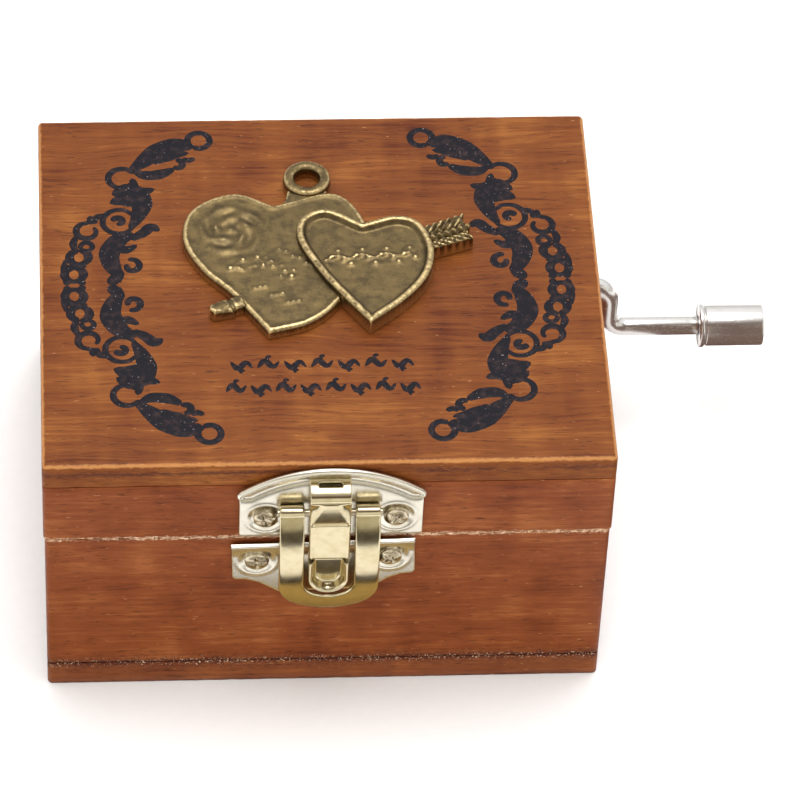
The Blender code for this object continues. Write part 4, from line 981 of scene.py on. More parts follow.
def tube(name: str, path: Sequence[Point], radius: float | Sequence[float], sides: int = 20) -> Mesh:
    """A round bar along a path, closed at both ends by a small dome.

    Args:
        name: the mesh's name.
        path: its middle line.
        radius: its radius, or one for each point.
        sides: how many points there are round it.

    Returns:
        The mesh.
    """
    line = np.array(path, float)
    radii = np.broadcast_to(np.array(radius, float), (len(line),)).copy()
    first, last = line[1] - line[0], line[-1] - line[-2]
    first, last = first / np.linalg.norm(first), last / np.linalg.norm(last)
    line = np.vstack([line[0] - END_GAP * first, line, line[-1] + END_GAP * last])
    radii = np.concatenate([[radii[0] * DOME_WIDTH], radii, [radii[-1] * DOME_WIDTH]])
    line[1] = line[0] + DOME_DEPTH * radii[1] * first
    line[-2] = line[-1] - DOME_DEPTH * radii[-2] * last
    across, up = frames_along(line)
    angles = np.linspace(0, math.tau, sides, endpoint=False)
    rings = line[:, None] + radii[:, None, None] * (
        np.cos(angles)[None, :, None] * across[:, None] + np.sin(angles)[None, :, None] * up[:, None]
    )
    return mesh_from(name, rings.reshape(-1, 3), swept_faces(len(line), sides))


def turned(name: str, profile: Sequence[Point], centre: Point, axis: str, steps: int = 48) -> Mesh:
    """A turned piece.

    Args:
        name: the mesh's name.
        profile: (distance along the axis, radius) points; a radius of 0 closes an end.
        centre: where the axis starts.
        axis: "X", "Y" or "Z".
        steps: how many points there are round it.

    Returns:
        The mesh.
    """
    closed = profile[0][1] > 0 and profile[-1][1] > 0
    points, rings = [], []
    for along, radius in profile:
        count = steps if radius > 1e-6 else 1
        rings.append((len(points), count))
        for k in range(count):
            a = math.tau * k / steps
            local = (along, radius * math.cos(a), radius * math.sin(a))
            order = {"X": (0, 1, 2), "Y": (2, 0, 1), "Z": (1, 2, 0)}[axis]
            points.append([centre[i] + local[order[i]] for i in range(3)])
    faces = []
    pairs = list(zip(rings, rings[1:])) + ([(rings[-1], rings[0])] if closed else [])
    for (a, count_a), (b, count_b) in pairs:
        for k in range(steps):
            n = (k + 1) % steps
            quad = [a + k % count_a, a + n % count_a, b + n % count_b, b + k % count_b]
            faces.append(list(dict.fromkeys(quad)))
    return mesh_from(name, points, [f for f in faces if len(f) > 2])


def refined_copy(node: str, bevel: float, angle: float = 32.0) -> Mesh:
    """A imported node's shape with its hard edges broken by a fine bevel.

    Args:
        node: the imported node.
        bevel: the bevel's width.
        angle: edges sharper than this are hard, in degrees.

    Returns:
        The mesh.
    """
    mesh = frame["nodes"][node].data.copy()
    mesh.name = node
    mesh.materials.clear()
    shape = bmesh.new()
    shape.from_mesh(mesh)
    bmesh.ops.remove_doubles(shape, verts=shape.verts, dist=0.0005 * MM)
    bmesh.ops.dissolve_limit(shape, angle_limit=math.radians(1.0), verts=shape.verts, edges=shape.edges)
    hard = [e for e in shape.edges if len(e.link_faces) == 2 and e.calc_face_angle(0) > math.radians(angle)]
    bevelling = {"segments": 2, "profile": 0.5, "affect": "EDGES", "clamp_overlap": True}
    bmesh.ops.bevel(shape, geom=hard, offset=bevel * MM, **bevelling)
    bmesh.ops.triangulate(shape, faces=[f for f in shape.faces if len(f.verts) > 4])
    shape.to_mesh(mesh)
    shape.free()
    return mesh


def join_meshes(name: str, meshes: Sequence[Mesh]) -> Mesh:
    """Several closed meshes in one, each still a body of its own.

    Args:
        name: the mesh's name.
        meshes: the meshes.

    Returns:
        The mesh.
    """
    shape = bmesh.new()
    for mesh in meshes:
        shape.from_mesh(mesh)
    joined = bpy.data.meshes.new(name)
    shape.to_mesh(joined)
    shape.free()
    return joined


def combined(name: str, first: Mesh, others: Sequence[Mesh], operation: str) -> Mesh:
    """The first mesh with the others joined to it or cut from it.

    Args:
        name: the mesh's name.
        first: the mesh that is worked on.
        others: the meshes that are joined or cut.
        operation: UNION or DIFFERENCE.

    Returns:
        The mesh.
    """
    piece = linked(name, first)
    helpers = [linked(f"{name}_{k}", other) for k, other in enumerate(others)]
    for helper in helpers:
        modifier = piece.modifiers.new(helper.name, "BOOLEAN")
        modifier.operation, modifier.object, modifier.solver = operation, helper, "EXACT"
    bpy.context.view_layer.update()
    graph = bpy.context.evaluated_depsgraph_get()
    mesh = bpy.data.meshes.new_from_object(piece.evaluated_get(graph))
    for obj in (piece, *helpers):
        bpy.data.objects.remove(obj)
    return mesh


@dataclass
class SubAssembly:
    """A group of pieces that are made and dressed together."""

    made: list[str] = field(default_factory=list, init=False)

    def add(
        self,
        name: str,
        mesh: Mesh,
        finish: object,
        body: str,
        slot: str,
        replaces: Sequence[str] = (),
        smooth_angle: float = 35.0,
    ) -> None:
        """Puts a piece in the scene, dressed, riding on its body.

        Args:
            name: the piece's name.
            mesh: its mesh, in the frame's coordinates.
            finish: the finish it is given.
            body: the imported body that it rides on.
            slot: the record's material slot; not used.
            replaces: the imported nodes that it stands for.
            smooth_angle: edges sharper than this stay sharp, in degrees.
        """
        piece = linked(name, shaded(mesh, smooth_angle))
        mesh.materials.clear()
        mesh.materials.append(finish_of(finish))
        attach(piece, body)
        if replaces:
            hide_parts(*replaces)
        self.made.append(name)
        LOG.info("%s: %d faces, rides on %s", name, len(mesh.polygons), body)


# ---- the wooden box


@dataclass
class WoodenBox(SubAssembly):
    """Base and lid: ten boards with broken edges, butt-jointed under one stain."""

    corner: float = 0.6
    rim: float = 0.55
    arris: float = 0.14
    glued_arris: float = 0.025
    sharp_angle: float = math.radians(60)
    mesh_step: float = 1.0
    wander: float = 0.018
    dent: float = 0.07
    dent_reach: float = 0.55
    seed_shift: float = 17.0
    screw_well: float = 1.3
    hole_gap: float = 0.55

    def build(self) -> None:
        """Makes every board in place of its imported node."""
        front, back, left, right, top = (1, -1), (1, 1), (0, -1), (0, 1), (2, 1)
        sides = (front, back, left, right)
        ends = (left, right)
        boards = (
            ("bottom_board", WOOD_FLOOR, sides),
            ("base_front_board", WOOD_FRONT, (front, *ends)),
            ("base_back_board", WOOD_FRONT, (back, *ends)),
            ("base_left_board", WOOD_SIDE, ()),
            ("base_right_board", WOOD_SIDE, ()),
            ("lid_top_board", WOOD_TOP, (*sides, top)),
            ("lid_front_rail", WOOD_FRONT, (front, *ends)),
            ("lid_back_rail", WOOD_FRONT, (back, *ends)),
            ("lid_left_rail", WOOD_SIDE, ()),
            ("lid_right_rail", WOOD_SIDE, ()),
        )
        for seed, (node, finish, rounded) in enumerate(boards):
            body, radius = ("lid", self.rim) if node.startswith("lid") else ("base", self.corner)
            mesh = self.board(node, rounded, radius, seed)
            holes = self.holes(node)
            if holes:
                mesh = combined(node, mesh, holes, "DIFFERENCE")
            self.add(f"{node}_stained", mesh, finish, body, "box_wood", [node], 30)

    def holes(self, node: str) -> list[Mesh]:
        """The shaft's hole in the right board, and the wells for the screw heads in the bottom board.

        Args:
            node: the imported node.

        Returns:
            A cutter for each hole.
        """
        if node == "base_right_board":
            joint = next(j for j in frame["joints"] if j["name"] == "crank_turn")
            y, z = joint["pos_m"][1] / MM, joint["pos_m"][2] / MM
            low, high = cad_box(node)
            radius = CRANK_WIRE_RADIUS + self.hole_gap
            run = [(low.x - 1, 0), (low.x - 1, radius), (high.x + 1, radius), (high.x + 1, 0)]
            return [turned("shaft_hole", run, (0, y, z), "X", 32)]
        if node == "bottom_board":
            wells = []
            for screw in (n for n in frame["nodes"] if n.startswith("movement_screw")):
                low, high = cad_box(screw)
                middle, radius = (low + high) / 2, (high.x - low.x) / 2 + 0.25
                run = [(-1, 0), (-1, radius), (self.screw_well, radius), (self.screw_well, 0)]
                wells.append(turned(f"{screw}_well", run, (middle.x, middle.y, 0), "Z", 32))
            return wells
        return []

    def board(self, node: str, rounded: Sequence[tuple[int, int]], radius: float, seed: int) -> Mesh:
        """A board with rounded outer edges, a fine arris on the others, and small dents along them.

        Args:
            node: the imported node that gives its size.
            rounded: sides as (axis, sign); an edge between two of them is rounded.
            radius: the rounding.
            seed: shifts the dents from board to board.

        Returns:
            The mesh.
        """
        low, high = cad_box(node)
        shape = bmesh.new()
        bmesh.ops.create_cube(shape, size=1)
        bmesh.ops.scale(shape, vec=high - low, verts=shape.verts)
        bmesh.ops.translate(shape, vec=(low + high) / 2, verts=shape.verts)

        def between(edge: bmesh.types.BMEdge) -> bool:
            """Whether the edge lies between two of the rounded sides."""
            middle = (edge.verts[0].co + edge.verts[1].co) / 2
            return sum(abs(middle[a] - (high if s > 0 else low)[a]) < 1e-4 for a, s in rounded) == 2

        outer = [e for e in shape.edges if between(e)]
        bmesh.ops.bevel(shape, geom=outer, offset=radius, segments=5, profile=0.5, affect="EDGES")
        joint = cad_box("lid_top_board")[0].z
        sharp = [e for e in shape.edges if e.calc_face_angle(0) > self.sharp_angle]
        glued = [e for e in sharp if all(abs(v.co.z - joint) < 1e-3 for v in e.verts)]
        bmesh.ops.bevel(shape, geom=glued, offset=self.glued_arris, segments=1, affect="EDGES")
        sharp = [e for e in shape.edges if e.calc_face_angle(0) > self.sharp_angle]
        bmesh.ops.bevel(shape, geom=sharp, offset=self.arris, segments=2, profile=0.5, affect="EDGES")
        for axis in range(3):
            normal = Vector([float(k == axis) for k in range(3)])
            count = max(2, int((high[axis] - low[axis]) / self.mesh_step))
            for k in range(1, count):
                at = Vector(low)
                at[axis] = low[axis] + (high[axis] - low[axis]) * k / count
                everything = [*shape.verts, *shape.edges, *shape.faces]
                bmesh.ops.bisect_plane(shape, geom=everything, dist=1e-4, plane_co=at, plane_no=normal)
        shape.normal_update()
        for vert in shape.verts:
            gaps = sorted(min(vert.co[a] - low[a], high[a] - vert.co[a]) for a in range(3))
            near = math.exp(-((gaps[1] / self.dent_reach) ** 2))
            at = vert.co + Vector((0, 0, self.seed_shift * seed))
            wave = 0.5 + 0.5 * noise.noise(at * 0.13)
            nick = max(0.0, noise.noise(at * 0.95) - 0.12) + 0.5 * max(0.0, noise.noise(at * 2.3))
            vert.co -= vert.normal * (self.wander * wave + near * self.dent * nick)
        bmesh.ops.scale(shape, vec=(MM, MM, MM), verts=shape.verts)
        mesh = bpy.data.meshes.new(node)
        shape.to_mesh(mesh)
        shape.free()
        return mesh


# ---- the printed scrolls


def curl(centre: Point, start: float, sweep: float, outer: float, inner: float) -> list[Point]:
    """Points of a curl round a centre, from an angle in degrees, closing from one radius to another.

    Args:
        centre: its centre.
        start: the angle where it starts.
        sweep: how far it turns.
        outer: its radius at the start.
        inner: its radius at the end.

    Returns:
        The points.
    """
    steps = max(4, int(abs(sweep) / 40))
    points = []
    for k in range(steps + 1):
        share = k / steps
        angle, radius = math.radians(start + sweep * share), outer + (inner - outer) * share
        points.append((centre[0] + radius * math.cos(angle), centre[1] + radius * math.sin(angle)))
    return points


@dataclass(frozen=True)
class Stroke:
    """One pen stroke: the line that it follows, and its widths from end to end."""

    line: Sequence[Point]
    widths: Sequence[float]

    def mirrored(self, flip_x: float | None, flip_y: float | None) -> "Stroke":
        """The stroke mirrored about an x or a y place, or both.

        Args:
            flip_x: the x place, or None.
            flip_y: the y place, or None.

        Returns:
            The mirrored stroke.
        """
        line = [
            (2 * flip_x - x if flip_x is not None else x, 2 * flip_y - y if flip_y is not None else y)
            for x, y in self.line
        ]
        return Stroke(line, self.widths)

    def mesh(self, name: str, height: float, thickness: float) -> Mesh:
        """The stroke as a low closed ridge on a level plane.

        Args:
            name: the mesh's name.
            height: the plane's height.
            thickness: how high its middle stands.

        Returns:
            The mesh.
        """
        path = curve_through(self.line, 5)
        along = run_along(path)
        share = along / along[-1]
        width = np.interp(share, np.linspace(0, 1, len(self.widths)), self.widths)
        ends = np.minimum(along, along[-1] - along) / np.maximum(width / 2, 1e-6)
        width = width * np.sqrt(np.clip(1 - np.clip(1 - ends, 0, 1) ** 2, 0.02, 1))
        tangent = unit(np.gradient(path, axis=0))
        side = np.column_stack([-tangent[:, 1], tangent[:, 0]])
        section = ((-0.5, 0.0), (-0.44, 0.75), (0.0, 1.0), (0.44, 0.75), (0.5, 0.0))
        points = []
        for place, out, reach in zip(path, side, width):
            for across, up in section:
                points.append((*(place + out * across * reach), height + up * thickness))
        return mesh_from(name, points, swept_faces(len(path), len(section)))


@dataclass
class PrintedScrolls(SubAssembly):
    """Two bands of leafy scrolls and a pair of small flourishes, screen-printed on the lid."""

    thickness: float = 0.030
    lift: float = 0.0012
    sink: float = 0.012
    mirror_y: float = 0.5
    mirror_x: float = -0.3
    rows: Sequence[Point] = ((-12.1, 10.6), (-15.7, 11.2))
    wave: Sequence[Point] = ((-0.85, -0.5), (-0.3, 0.55), (0.3, -0.35), (0.8, 0.5))

    def quarter(self) -> list[Stroke]:
        """The upper right quarter of the pattern.

        Returns:
            The strokes.
        """
        chain = [(26.9, 4.9), (27.5, 2.2)]
        lines_and_widths = [
            (curl((12.7, 23.35), -60, 365, 1.35, 1.25), (0.9, 0.8, 0.8)),
            ([(13.3, 22.3), (15.3, 22.7), (17.6, 21.6), (19.4, 19.9), (20.9, 18.4)],
             (1.2, 2.5, 2.7, 2.0, 0.7)),
            ([(13.9, 21.4), (16.0, 21.0), (18.4, 19.8)], (0.6, 1.7, 0.9)),
            ([(13.2, 20.5), (14.0, 20.2), (14.6, 20.6)], (0.6, 0.9, 0.5)),
            (curl((15.3, 19.5), 80, 250, 0.8, 0.35), (0.8, 0.9, 0.9)),
            ([(15.6, 18.9), (17.3, 18.0), (19.2, 17.9), (20.6, 18.9)], (0.7, 1.6, 1.5, 0.5)),
            (curl((21.8, 17.3), 150, -300, 1.75, 1.3), (0.6, 0.85, 0.75, 0.5)),
            ([(20.6, 17.4), (20.4, 15.9), (21.6, 14.8)], (0.7, 1.2, 0.9)),
            ([(18.0, 15.6), (19.6, 15.2), (21.4, 15.6), (22.9, 14.7)], (0.6, 1.7, 1.9, 0.8)),
            ([(18.4, 13.7), (19.9, 13.6), (21.6, 14.0), (23.2, 13.4)], (0.7, 2.0, 2.2, 0.7)),
            ([(19.4, 15.4), (19.5, 13.0), (20.1, 11.0), (21.0, 9.2)], (1.6, 2.5, 1.7, 0.6)),
            (curl((22.2, 10.4), 150, -330, 2.0, 1.75), (0.55, 0.75, 0.7, 0.5)),
            (curl((22.3, 10.5), 0, 300, 0.62, 0.3), (0.9, 1.0, 0.9)),
            ([(17.6, 8.9), (18.5, 9.5), (19.6, 8.5), (21.0, 7.6)], (0.7, 1.5, 1.3, 0.8)),
            ([(20.6, 8.6), (22.4, 7.4), (23.4, 5.3), (22.9, 3.0), (21.9, 1.6)], (1.2, 2.3, 2.6, 2.1, 1.1)),
            ([(20.2, 6.7), (21.4, 6.0), (22.8, 6.2)], (0.5, 1.3, 1.2)),
            (curl((20.9, 3.4), 70, 330, 1.15, 0.4), (0.7, 0.9, 0.8)),
            ([(22.0, 2.4), (22.9, 1.2), (22.9, 0.5)], (1.1, 1.6, 1.9)),
            ([(23.6, 11.6), (24.6, 11.3), (25.3, 10.6), (26.4, 10.2)], (0.5, 0.9, 0.8, 0.5)),
            (curl((25.9, 9.0), 100, -320, 1.35, 1.0), (0.6, 0.85, 0.8, 0.5)),
            (curl((25.2, 10.9), 200, 250, 0.5, 0.35), (0.6, 0.6, 0.6)),
            ([(27.0, 8.4), (27.5, 7.0), (27.1, 5.6)], (0.6, 1.0, 0.6)),
            (curl((25.9, 6.5), -20, 300, 0.85, 0.45), (0.6, 0.75, 0.6)),
            *[(curl(c, 90, 360, 1.15, 1.0), (0.8, 1.15, 0.7, 1.1, 0.8)) for c in chain],
            ([(26.0, 3.4), (26.7, 3.6), (27.6, 3.3), (28.2, 3.7)], (0.5, 0.9, 0.9, 0.5)),
            ([(28.3, 4.7), (28.6, 3.2), (28.4, 1.6), (28.2, 0.5)], (0.5, 0.8, 0.9, 0.8)),
            ([(26.2, 1.2), (26.6, 0.8), (26.7, 0.5)], (0.6, 0.9, 1.0)),
        ]
        return [Stroke(line, widths) for line, widths in lines_and_widths]

    def flourishes(self) -> list[Stroke]:
        """Two lines of small waves with dots, centred under the hearts.

        Returns:
            The strokes.
        """
        strokes = []
        for row, (y, half) in enumerate(self.rows):
            waves = 7 + row
            for k in range(waves):
                at = self.mirror_x - half + 2 * half * (k + 0.5) / waves
                step = half / waves
                flip = 1 if (k + row) % 2 else -1
                wave = [(at + across * step, y + up * flip) for across, up in self.wave]
                strokes.append(Stroke(wave, (0.25, 0.85, 0.75, 0.2)))
                strokes.append(Stroke(curl((at, y + 1.05 * flip), 0, 300, 0.22, 0.1), (0.4, 0.45, 0.4)))
        return strokes

    def build(self) -> None:
        """Prints both bands and the flourishes."""
        height = cad_box("lid_top_board")[1].z - self.sink
        upper = self.quarter()
        right = upper + [s.mirrored(None, self.mirror_y) for s in upper]
        bands = {
            "print_right": right,
            "print_left": [s.mirrored(self.mirror_x, None) for s in right],
            "print_flourishes": self.flourishes(),
        }
        for name, strokes in bands.items():
            lifts = [self.thickness + self.lift * (k % 12) for k in range(len(strokes))]
            meshes = [stroke.mesh(name, height, lift) for stroke, lift in zip(strokes, lifts)]
            self.add(name, join_meshes(name, meshes), INK, "lid", "box_wood", (), 60)


# ---- the charm


def smooth_loop(points: Sequence[Point], corners: Sequence[int]) -> list[Point]:
    """A closed smooth loop through the points, with sharp corners at the given ones.

    Args:
        points: the points, in order.
        corners: the places of the sharp ones.

    Returns:
        The loop's points.
    """
    marks = list(corners)
    loop: list[Point] = []
    count = len(points)
    for start, end in zip(marks, marks[1:] + [marks[0] + count]):
        run = [points[k % count] for k in range(start, end + 1)]
        loop += [tuple(p) for p in curve_through(run, 7)[:-1]]
    return loop


@dataclass
class HeartCharm(SubAssembly):
    """A cast charm glued to the lid: two hearts on an arrow, under a hanging ring."""

    big_thickness: float = 1.4
    small_thickness: float = 2.2
    recess: float = 0.62
    rim_width: float = 0.95
    ring_centre: Point = (-1.0, 15.7)
    ring_radius: float = 2.75
    ring_hole: float = 1.45
    ring_thickness: float = 1.6
    arrow_thickness: float = 1.5
    arrow_half: float = 0.95
    feather_thickness: float = 2.1
    point_step: float = 0.24
    big_outline: Sequence[Point] = (
        (-5, 11.5), (-9.5, 13.5), (-14.3, 11.2), (-15.6, 6.5), (-13.6, 1.6), (-10.2, -2.4),
        (-6.2, -8.4), (-1.6, -7.0), (1.75, -4.0), (5.2, 2.0), (5.6, 8.2), (2.2, 13.3),
    )
    small_outline: Sequence[Point] = (
        (5.1, 7.8), (1.0, 10.1), (-2.0, 8.6), (-2.4, 5.2), (-0.2, 0.3), (2.3, -3.6),
        (5.3, -7.8), (9.4, -4.3), (12.2, -0.6), (13.1, 3.6), (11.8, 7.6), (9.0, 8.9),
    )
    stem: Sequence[Point] = (
        (0.6, 2.2), (2.0, 2.9), (3.4, 2.5), (4.8, 3.1), (6.2, 2.6), (7.6, 3.2), (8.9, 2.8), (10.2, 3.3),
    )
    neck_outline: Sequence[Point] = (
        (-2.3, -1.6), (-2.6, -3.2), (-3.4, -4.6), (2.9, -4.6), (2.2, -3.0), (2.2, -1.7), (1.2, -2.1),
        (0.0, -2.3), (-1.2, -2.1),
    )
    shaft_start: Point = (-9.0, -3.38)
    shaft_tip: Point = (-12.8, -4.9)
    feather_outline: Sequence[Point] = (
        (12.3, 5.2), (12.5, 3.5), (17.7, 5.3), (17.1, 6.2),
        (17.5, 7.4), (16.6, 7.9), (16.8, 9.2), (11.9, 7.1),
    )

    def build(self) -> None:
        """Casts the parts, joins them into one body and marks what is rubbed bright."""
        makers = (self.big_heart, self.small_heart, self.ring, self.neck, self.arrow, self.feathers)
        first, *others = (maker() for maker in makers)
        mesh = combined("heart_charm_cast", first, others, "UNION")
        mark_rub(mesh, 5.0, 1)
        self.add("heart_charm_cast", mesh, CHARM_BRONZE, "lid", "charm_bronze", ["heart_charm"], 50)

    @staticmethod
    def cast(plate: Plate, relief: Heights) -> Mesh:
        """One part of the charm, standing on the lid."""
        return plate.mesh("charm_part", relief, lying(cad_box("heart_charm")[0].z))

    @staticmethod
    def bumps(u: Array, v: Array, spots: Sequence[tuple[float, float, float, float]]) -> Array:
        """Round bumps, each given as (x, y, radius, height).

        Args:
            u, v: the points.
            spots: the bumps.

        Returns:
            The height at each point.
        """
        total = np.zeros(len(u))
        for x, y, radius, height in spots:
            total += height * np.exp(-((u - x) ** 2 + (v - y) ** 2) / radius**2)
        return total

    @staticmethod
    def casting(u: Array, v: Array, height: float) -> Array:
        """The faint pitting of the casting."""
        coarse = [noise.noise((a * 0.8, b * 0.8, 4.0)) for a, b in zip(u, v)]
        fine = [noise.noise((a * 2.6, b * 2.6, 9.0)) for a, b in zip(u, v)]
        return height * np.array(coarse) + 0.5 * height * np.array(fine)

    def big_heart(self) -> Mesh:
        """The large heart, with a rosette, dotted sprigs and a small garland in low relief.

        Returns:
            The mesh.
        """
        sprigs = []
        draw = random.Random(5)
        for k in range(26):
            share = k / 25
            x, y = -10.4 + 7.2 * share, 1.2 + 2.0 * math.sin(3.0 * share) - 1.4 * share
            x, y = x + draw.uniform(-0.5, 0.5), y + draw.uniform(-0.8, 0.8)
            sprigs.append((x, y, draw.uniform(0.18, 0.36), 0.15))
        for k in range(9):
            sprigs.append((-7.6 + 0.62 * k, -1.6 - 0.38 * k + 0.5 * (k % 3), 0.24, 0.15))
        for k in range(6):
            sprigs.append((-4.6 + 0.75 * k, 4.4 - 0.55 * k + 0.3 * (k % 2), 0.26, 0.13))

        def relief(u: Array, v: Array) -> Array:
            """The relief over the heart's face.

            Args:
                u, v: the points.

            Returns:
                Their heights.
            """
            x, y = u + 10.0, v - 7.6
            radius, angle = np.hypot(x, y), np.arctan2(y, x)
            petals = 0.10 * np.cos(5 * angle + 2.6 * radius) * ridge(radius, 2.6, 1.3)
            rings = 0.07 * np.cos(3.6 * radius) * falls(radius, 4.0, 0.25)
            edge = np.clip(edge_distance(np.column_stack([u, v]), loops), 0, None)
            rim = 0.12 * ridge(edge, 0.45, 0.3)
            dome = 0.10 * np.clip(edge / 4.0, 0, 1)
            return petals + rings + rim + dome + self.bumps(u, v, sprigs) + self.casting(u, v, 0.035) - 0.2

        outline = smooth_loop(self.big_outline, (0, 6))
        loops = [np.array(outline)]
        return self.cast(Plate(outline, self.big_thickness, 0.34, self.point_step), relief)

    def small_heart(self) -> Mesh:
        """The small heart: a raised rolled rim round a sunk floor that holds a leafy sprig.

        Returns:
            The mesh.
        """
        outline = smooth_loop(self.small_outline, (0, 6))
        loops = [np.array(outline)]
        stem = self.stem
        leaves = []
        for k, (x, y) in enumerate(stem):
            sign = 1 if k % 2 else -1
            leaves += [(x + 0.1, y + sign * 0.75, 0.44, 0.20), (x + 0.7, y - sign * 0.60, 0.34, 0.16)]

        def relief(u: Array, v: Array) -> Array:
            """The relief over the heart's face.

            Args:
                u, v: the points.

            Returns:
                Their heights.
            """
            points = np.column_stack([u, v])
            edge = np.clip(edge_distance(points, loops), 0, None)
            sunk = rises(edge, self.rim_width, 0.085)
            sprig = 0.22 * ridge(off_line(points, curve_through(stem, 6)), 0, 0.26) + self.bumps(u, v, leaves)
            crown = 0.10 * ridge(edge, 0.48, 0.3) - 0.10
            return crown * (1 - sunk) + sunk * (sprig - self.recess) + self.casting(u, v, 0.03) - 0.03

        return self.cast(Plate(outline, self.small_thickness, 0.30, self.point_step * 0.85), relief)

    def ring(self) -> Mesh:
        """The hanging ring, round in section on top.

        Returns:
            The mesh.
        """
        outline = arc_points(self.ring_centre, self.ring_radius, 0, 354, 59)
        hole = arc_points(self.ring_centre, self.ring_hole, 0, 350, 35)
        half = (self.ring_radius - self.ring_hole) / 2

        def relief(u: Array, v: Array) -> Array:
            """The ring's round top."""
            off = np.hypot(u - self.ring_centre[0], v - self.ring_centre[1]) - self.ring_hole - half
            return np.sqrt(np.clip(1 - (off / half) ** 2, 0, 1)) * 0.45 - 0.47 + self.casting(u, v, 0.03)

        return self.cast(Plate(outline, self.ring_thickness, 0.22, self.point_step * 0.8, [hole]), relief)

    def neck(self) -> Mesh:
        """The short neck that joins the ring to the large heart.

        Returns:
            The mesh.
        """
        x, y = self.ring_centre
        outline = [(x + across, y + up) for across, up in self.neck_outline]

        def relief(u: Array, v: Array) -> Array:
            """The casting's pitting."""
            return self.casting(u, v, 0.04) - 0.06

        return self.cast(Plate(outline, self.big_thickness - 0.25, 0.3, self.point_step), relief)

    def arrow(self) -> Mesh:
        """The arrow's shaft, with a blunt head.

        Returns:
            The mesh.
        """
        start, tip = Vector(self.shaft_start), Vector(self.shaft_tip)
        along = (tip - start).normalized()
        side = Vector((-along.y, along.x)) * self.arrow_half
        head = tip - along * 2.6
        outline = [start + side, head + side, head + side * 1.15, tip + side * 0.75 - along * 0.3, tip,
                   tip - side * 0.75 - along * 0.3, head - side * 1.15, head - side, start - side]

        def relief(u: Array, v: Array) -> Array:
            """A rounded shaft with a groove behind its head.

            Args:
                u, v: the points.

            Returns:
                Their heights.
            """
            run = (u - start.x) * along.x + (v - start.y) * along.y
            off = (u - start.x) * along.y - (v - start.y) * along.x
            groove = 0.22 * ridge(run, (head - start).length, 0.22)
            return -0.28 * (off / self.arrow_half) ** 2 - groove - 0.03 + self.casting(u, v, 0.05)

        loop = [tuple(p) for p in outline]
        return self.cast(Plate(loop, self.arrow_thickness, 0.25, self.point_step), relief)

    def feathers(self) -> Mesh:
        """The arrow's feathers: two vanes with slanted barbs on either side of the quill.

        Returns:
            The mesh.
        """
        start = Vector(self.shaft_start)
        along = (start - Vector(self.shaft_tip)).normalized()

        def relief(u: Array, v: Array) -> Array:
            """The barbs and the quill.

            Args:
                u, v: the points.

            Returns:
                Their heights.
            """
            run = (u - start.x) * along.x + (v - start.y) * along.y
            off = (u - start.x) * along.y - (v - start.y) * along.x
            barbs = 0.14 * np.cos((run - 1.1 * np.abs(off)) * 7.2)
            quill = 0.30 * ridge(off, 0, 0.22) - 0.22 * ridge(np.abs(off), 0.5, 0.2)
            return barbs + quill - 0.22

        plate = Plate(self.feather_outline, self.feather_thickness, 0.2, self.point_step * 0.8)
        return self.cast(plate, relief)


# ---- screws


@dataclass(frozen=True)
class CrossScrew:
    """A small domed screw with a cross recess."""

    head: float = 1.4
    height: float = 0.75
    shank: float = 0.65
    length: float = 4.0

    def mesh(self, name: str, seat: Point, facing: Point, turn: float) -> Mesh:
        """The screw seated at a point.

        Args:
            name: the mesh's name.
            seat: the middle of its head's underside.
            facing: the direction that its head faces.
            turn: how far its cross is turned, in degrees.

        Returns:
            The mesh.
        """
        outline = arc_points((0, 0), self.head, 0, 350, 35)

        def relief(u: Array, v: Array) -> Array:
            """A dome with a cross pressed into it.

            Args:
                u, v: the points.

            Returns:
                Their heights.
            """
            radius = np.hypot(u, v)
            dome = -SCREW_DOME * self.height * (radius / self.head) ** 2
            arm = np.minimum(np.abs(u), np.abs(v))
            reach = np.maximum(np.abs(u), np.abs(v))
            width = 0.20 * (1 - 0.35 * reach / self.head)
            cross = falls(arm, width, 0.035) * falls(reach, 0.66 * self.head, 0.05)
            return dome - SCREW_DOME * self.height * cross * (1 - 0.4 * reach / self.head)

        head = Plate(outline, self.height, 0.16, 0.15).mesh(f"{name}_head", relief, lying(0))
        shank = turned(f"{name}_shank", self.thread(), (0, 0, 0), "Z", 20)
        whole = join_meshes(name, [head, shank])
        spin = Matrix.Rotation(math.radians(turn), 4, "Z")
        aim = Vector((0, 0, 1)).rotation_difference(Vector(facing)).to_matrix().to_4x4()
        whole.transform(Matrix.Translation(Vector(seat) * MM) @ aim @ spin)
        mark_rub(whole, 3.0)
        return whole

    def thread(self) -> list[Point]:
        """The shank's profile, from the head down to the point.

        Returns:
            The points.
        """
        crests = max(3, int(self.length / 0.5))
        profile = [(0.05, 0.0), (0.05, self.shank * 0.8), (-0.2, self.shank * 0.8)]
        for k in range(crests):
            z = -0.25 - (self.length - 0.9) * k / crests
            profile += [(z, self.shank * 0.72), (z - 0.14, self.shank), (z - 0.28, self.shank * 0.72)]
        return [*profile, (-self.length, 0.0)]


# ---- the latch


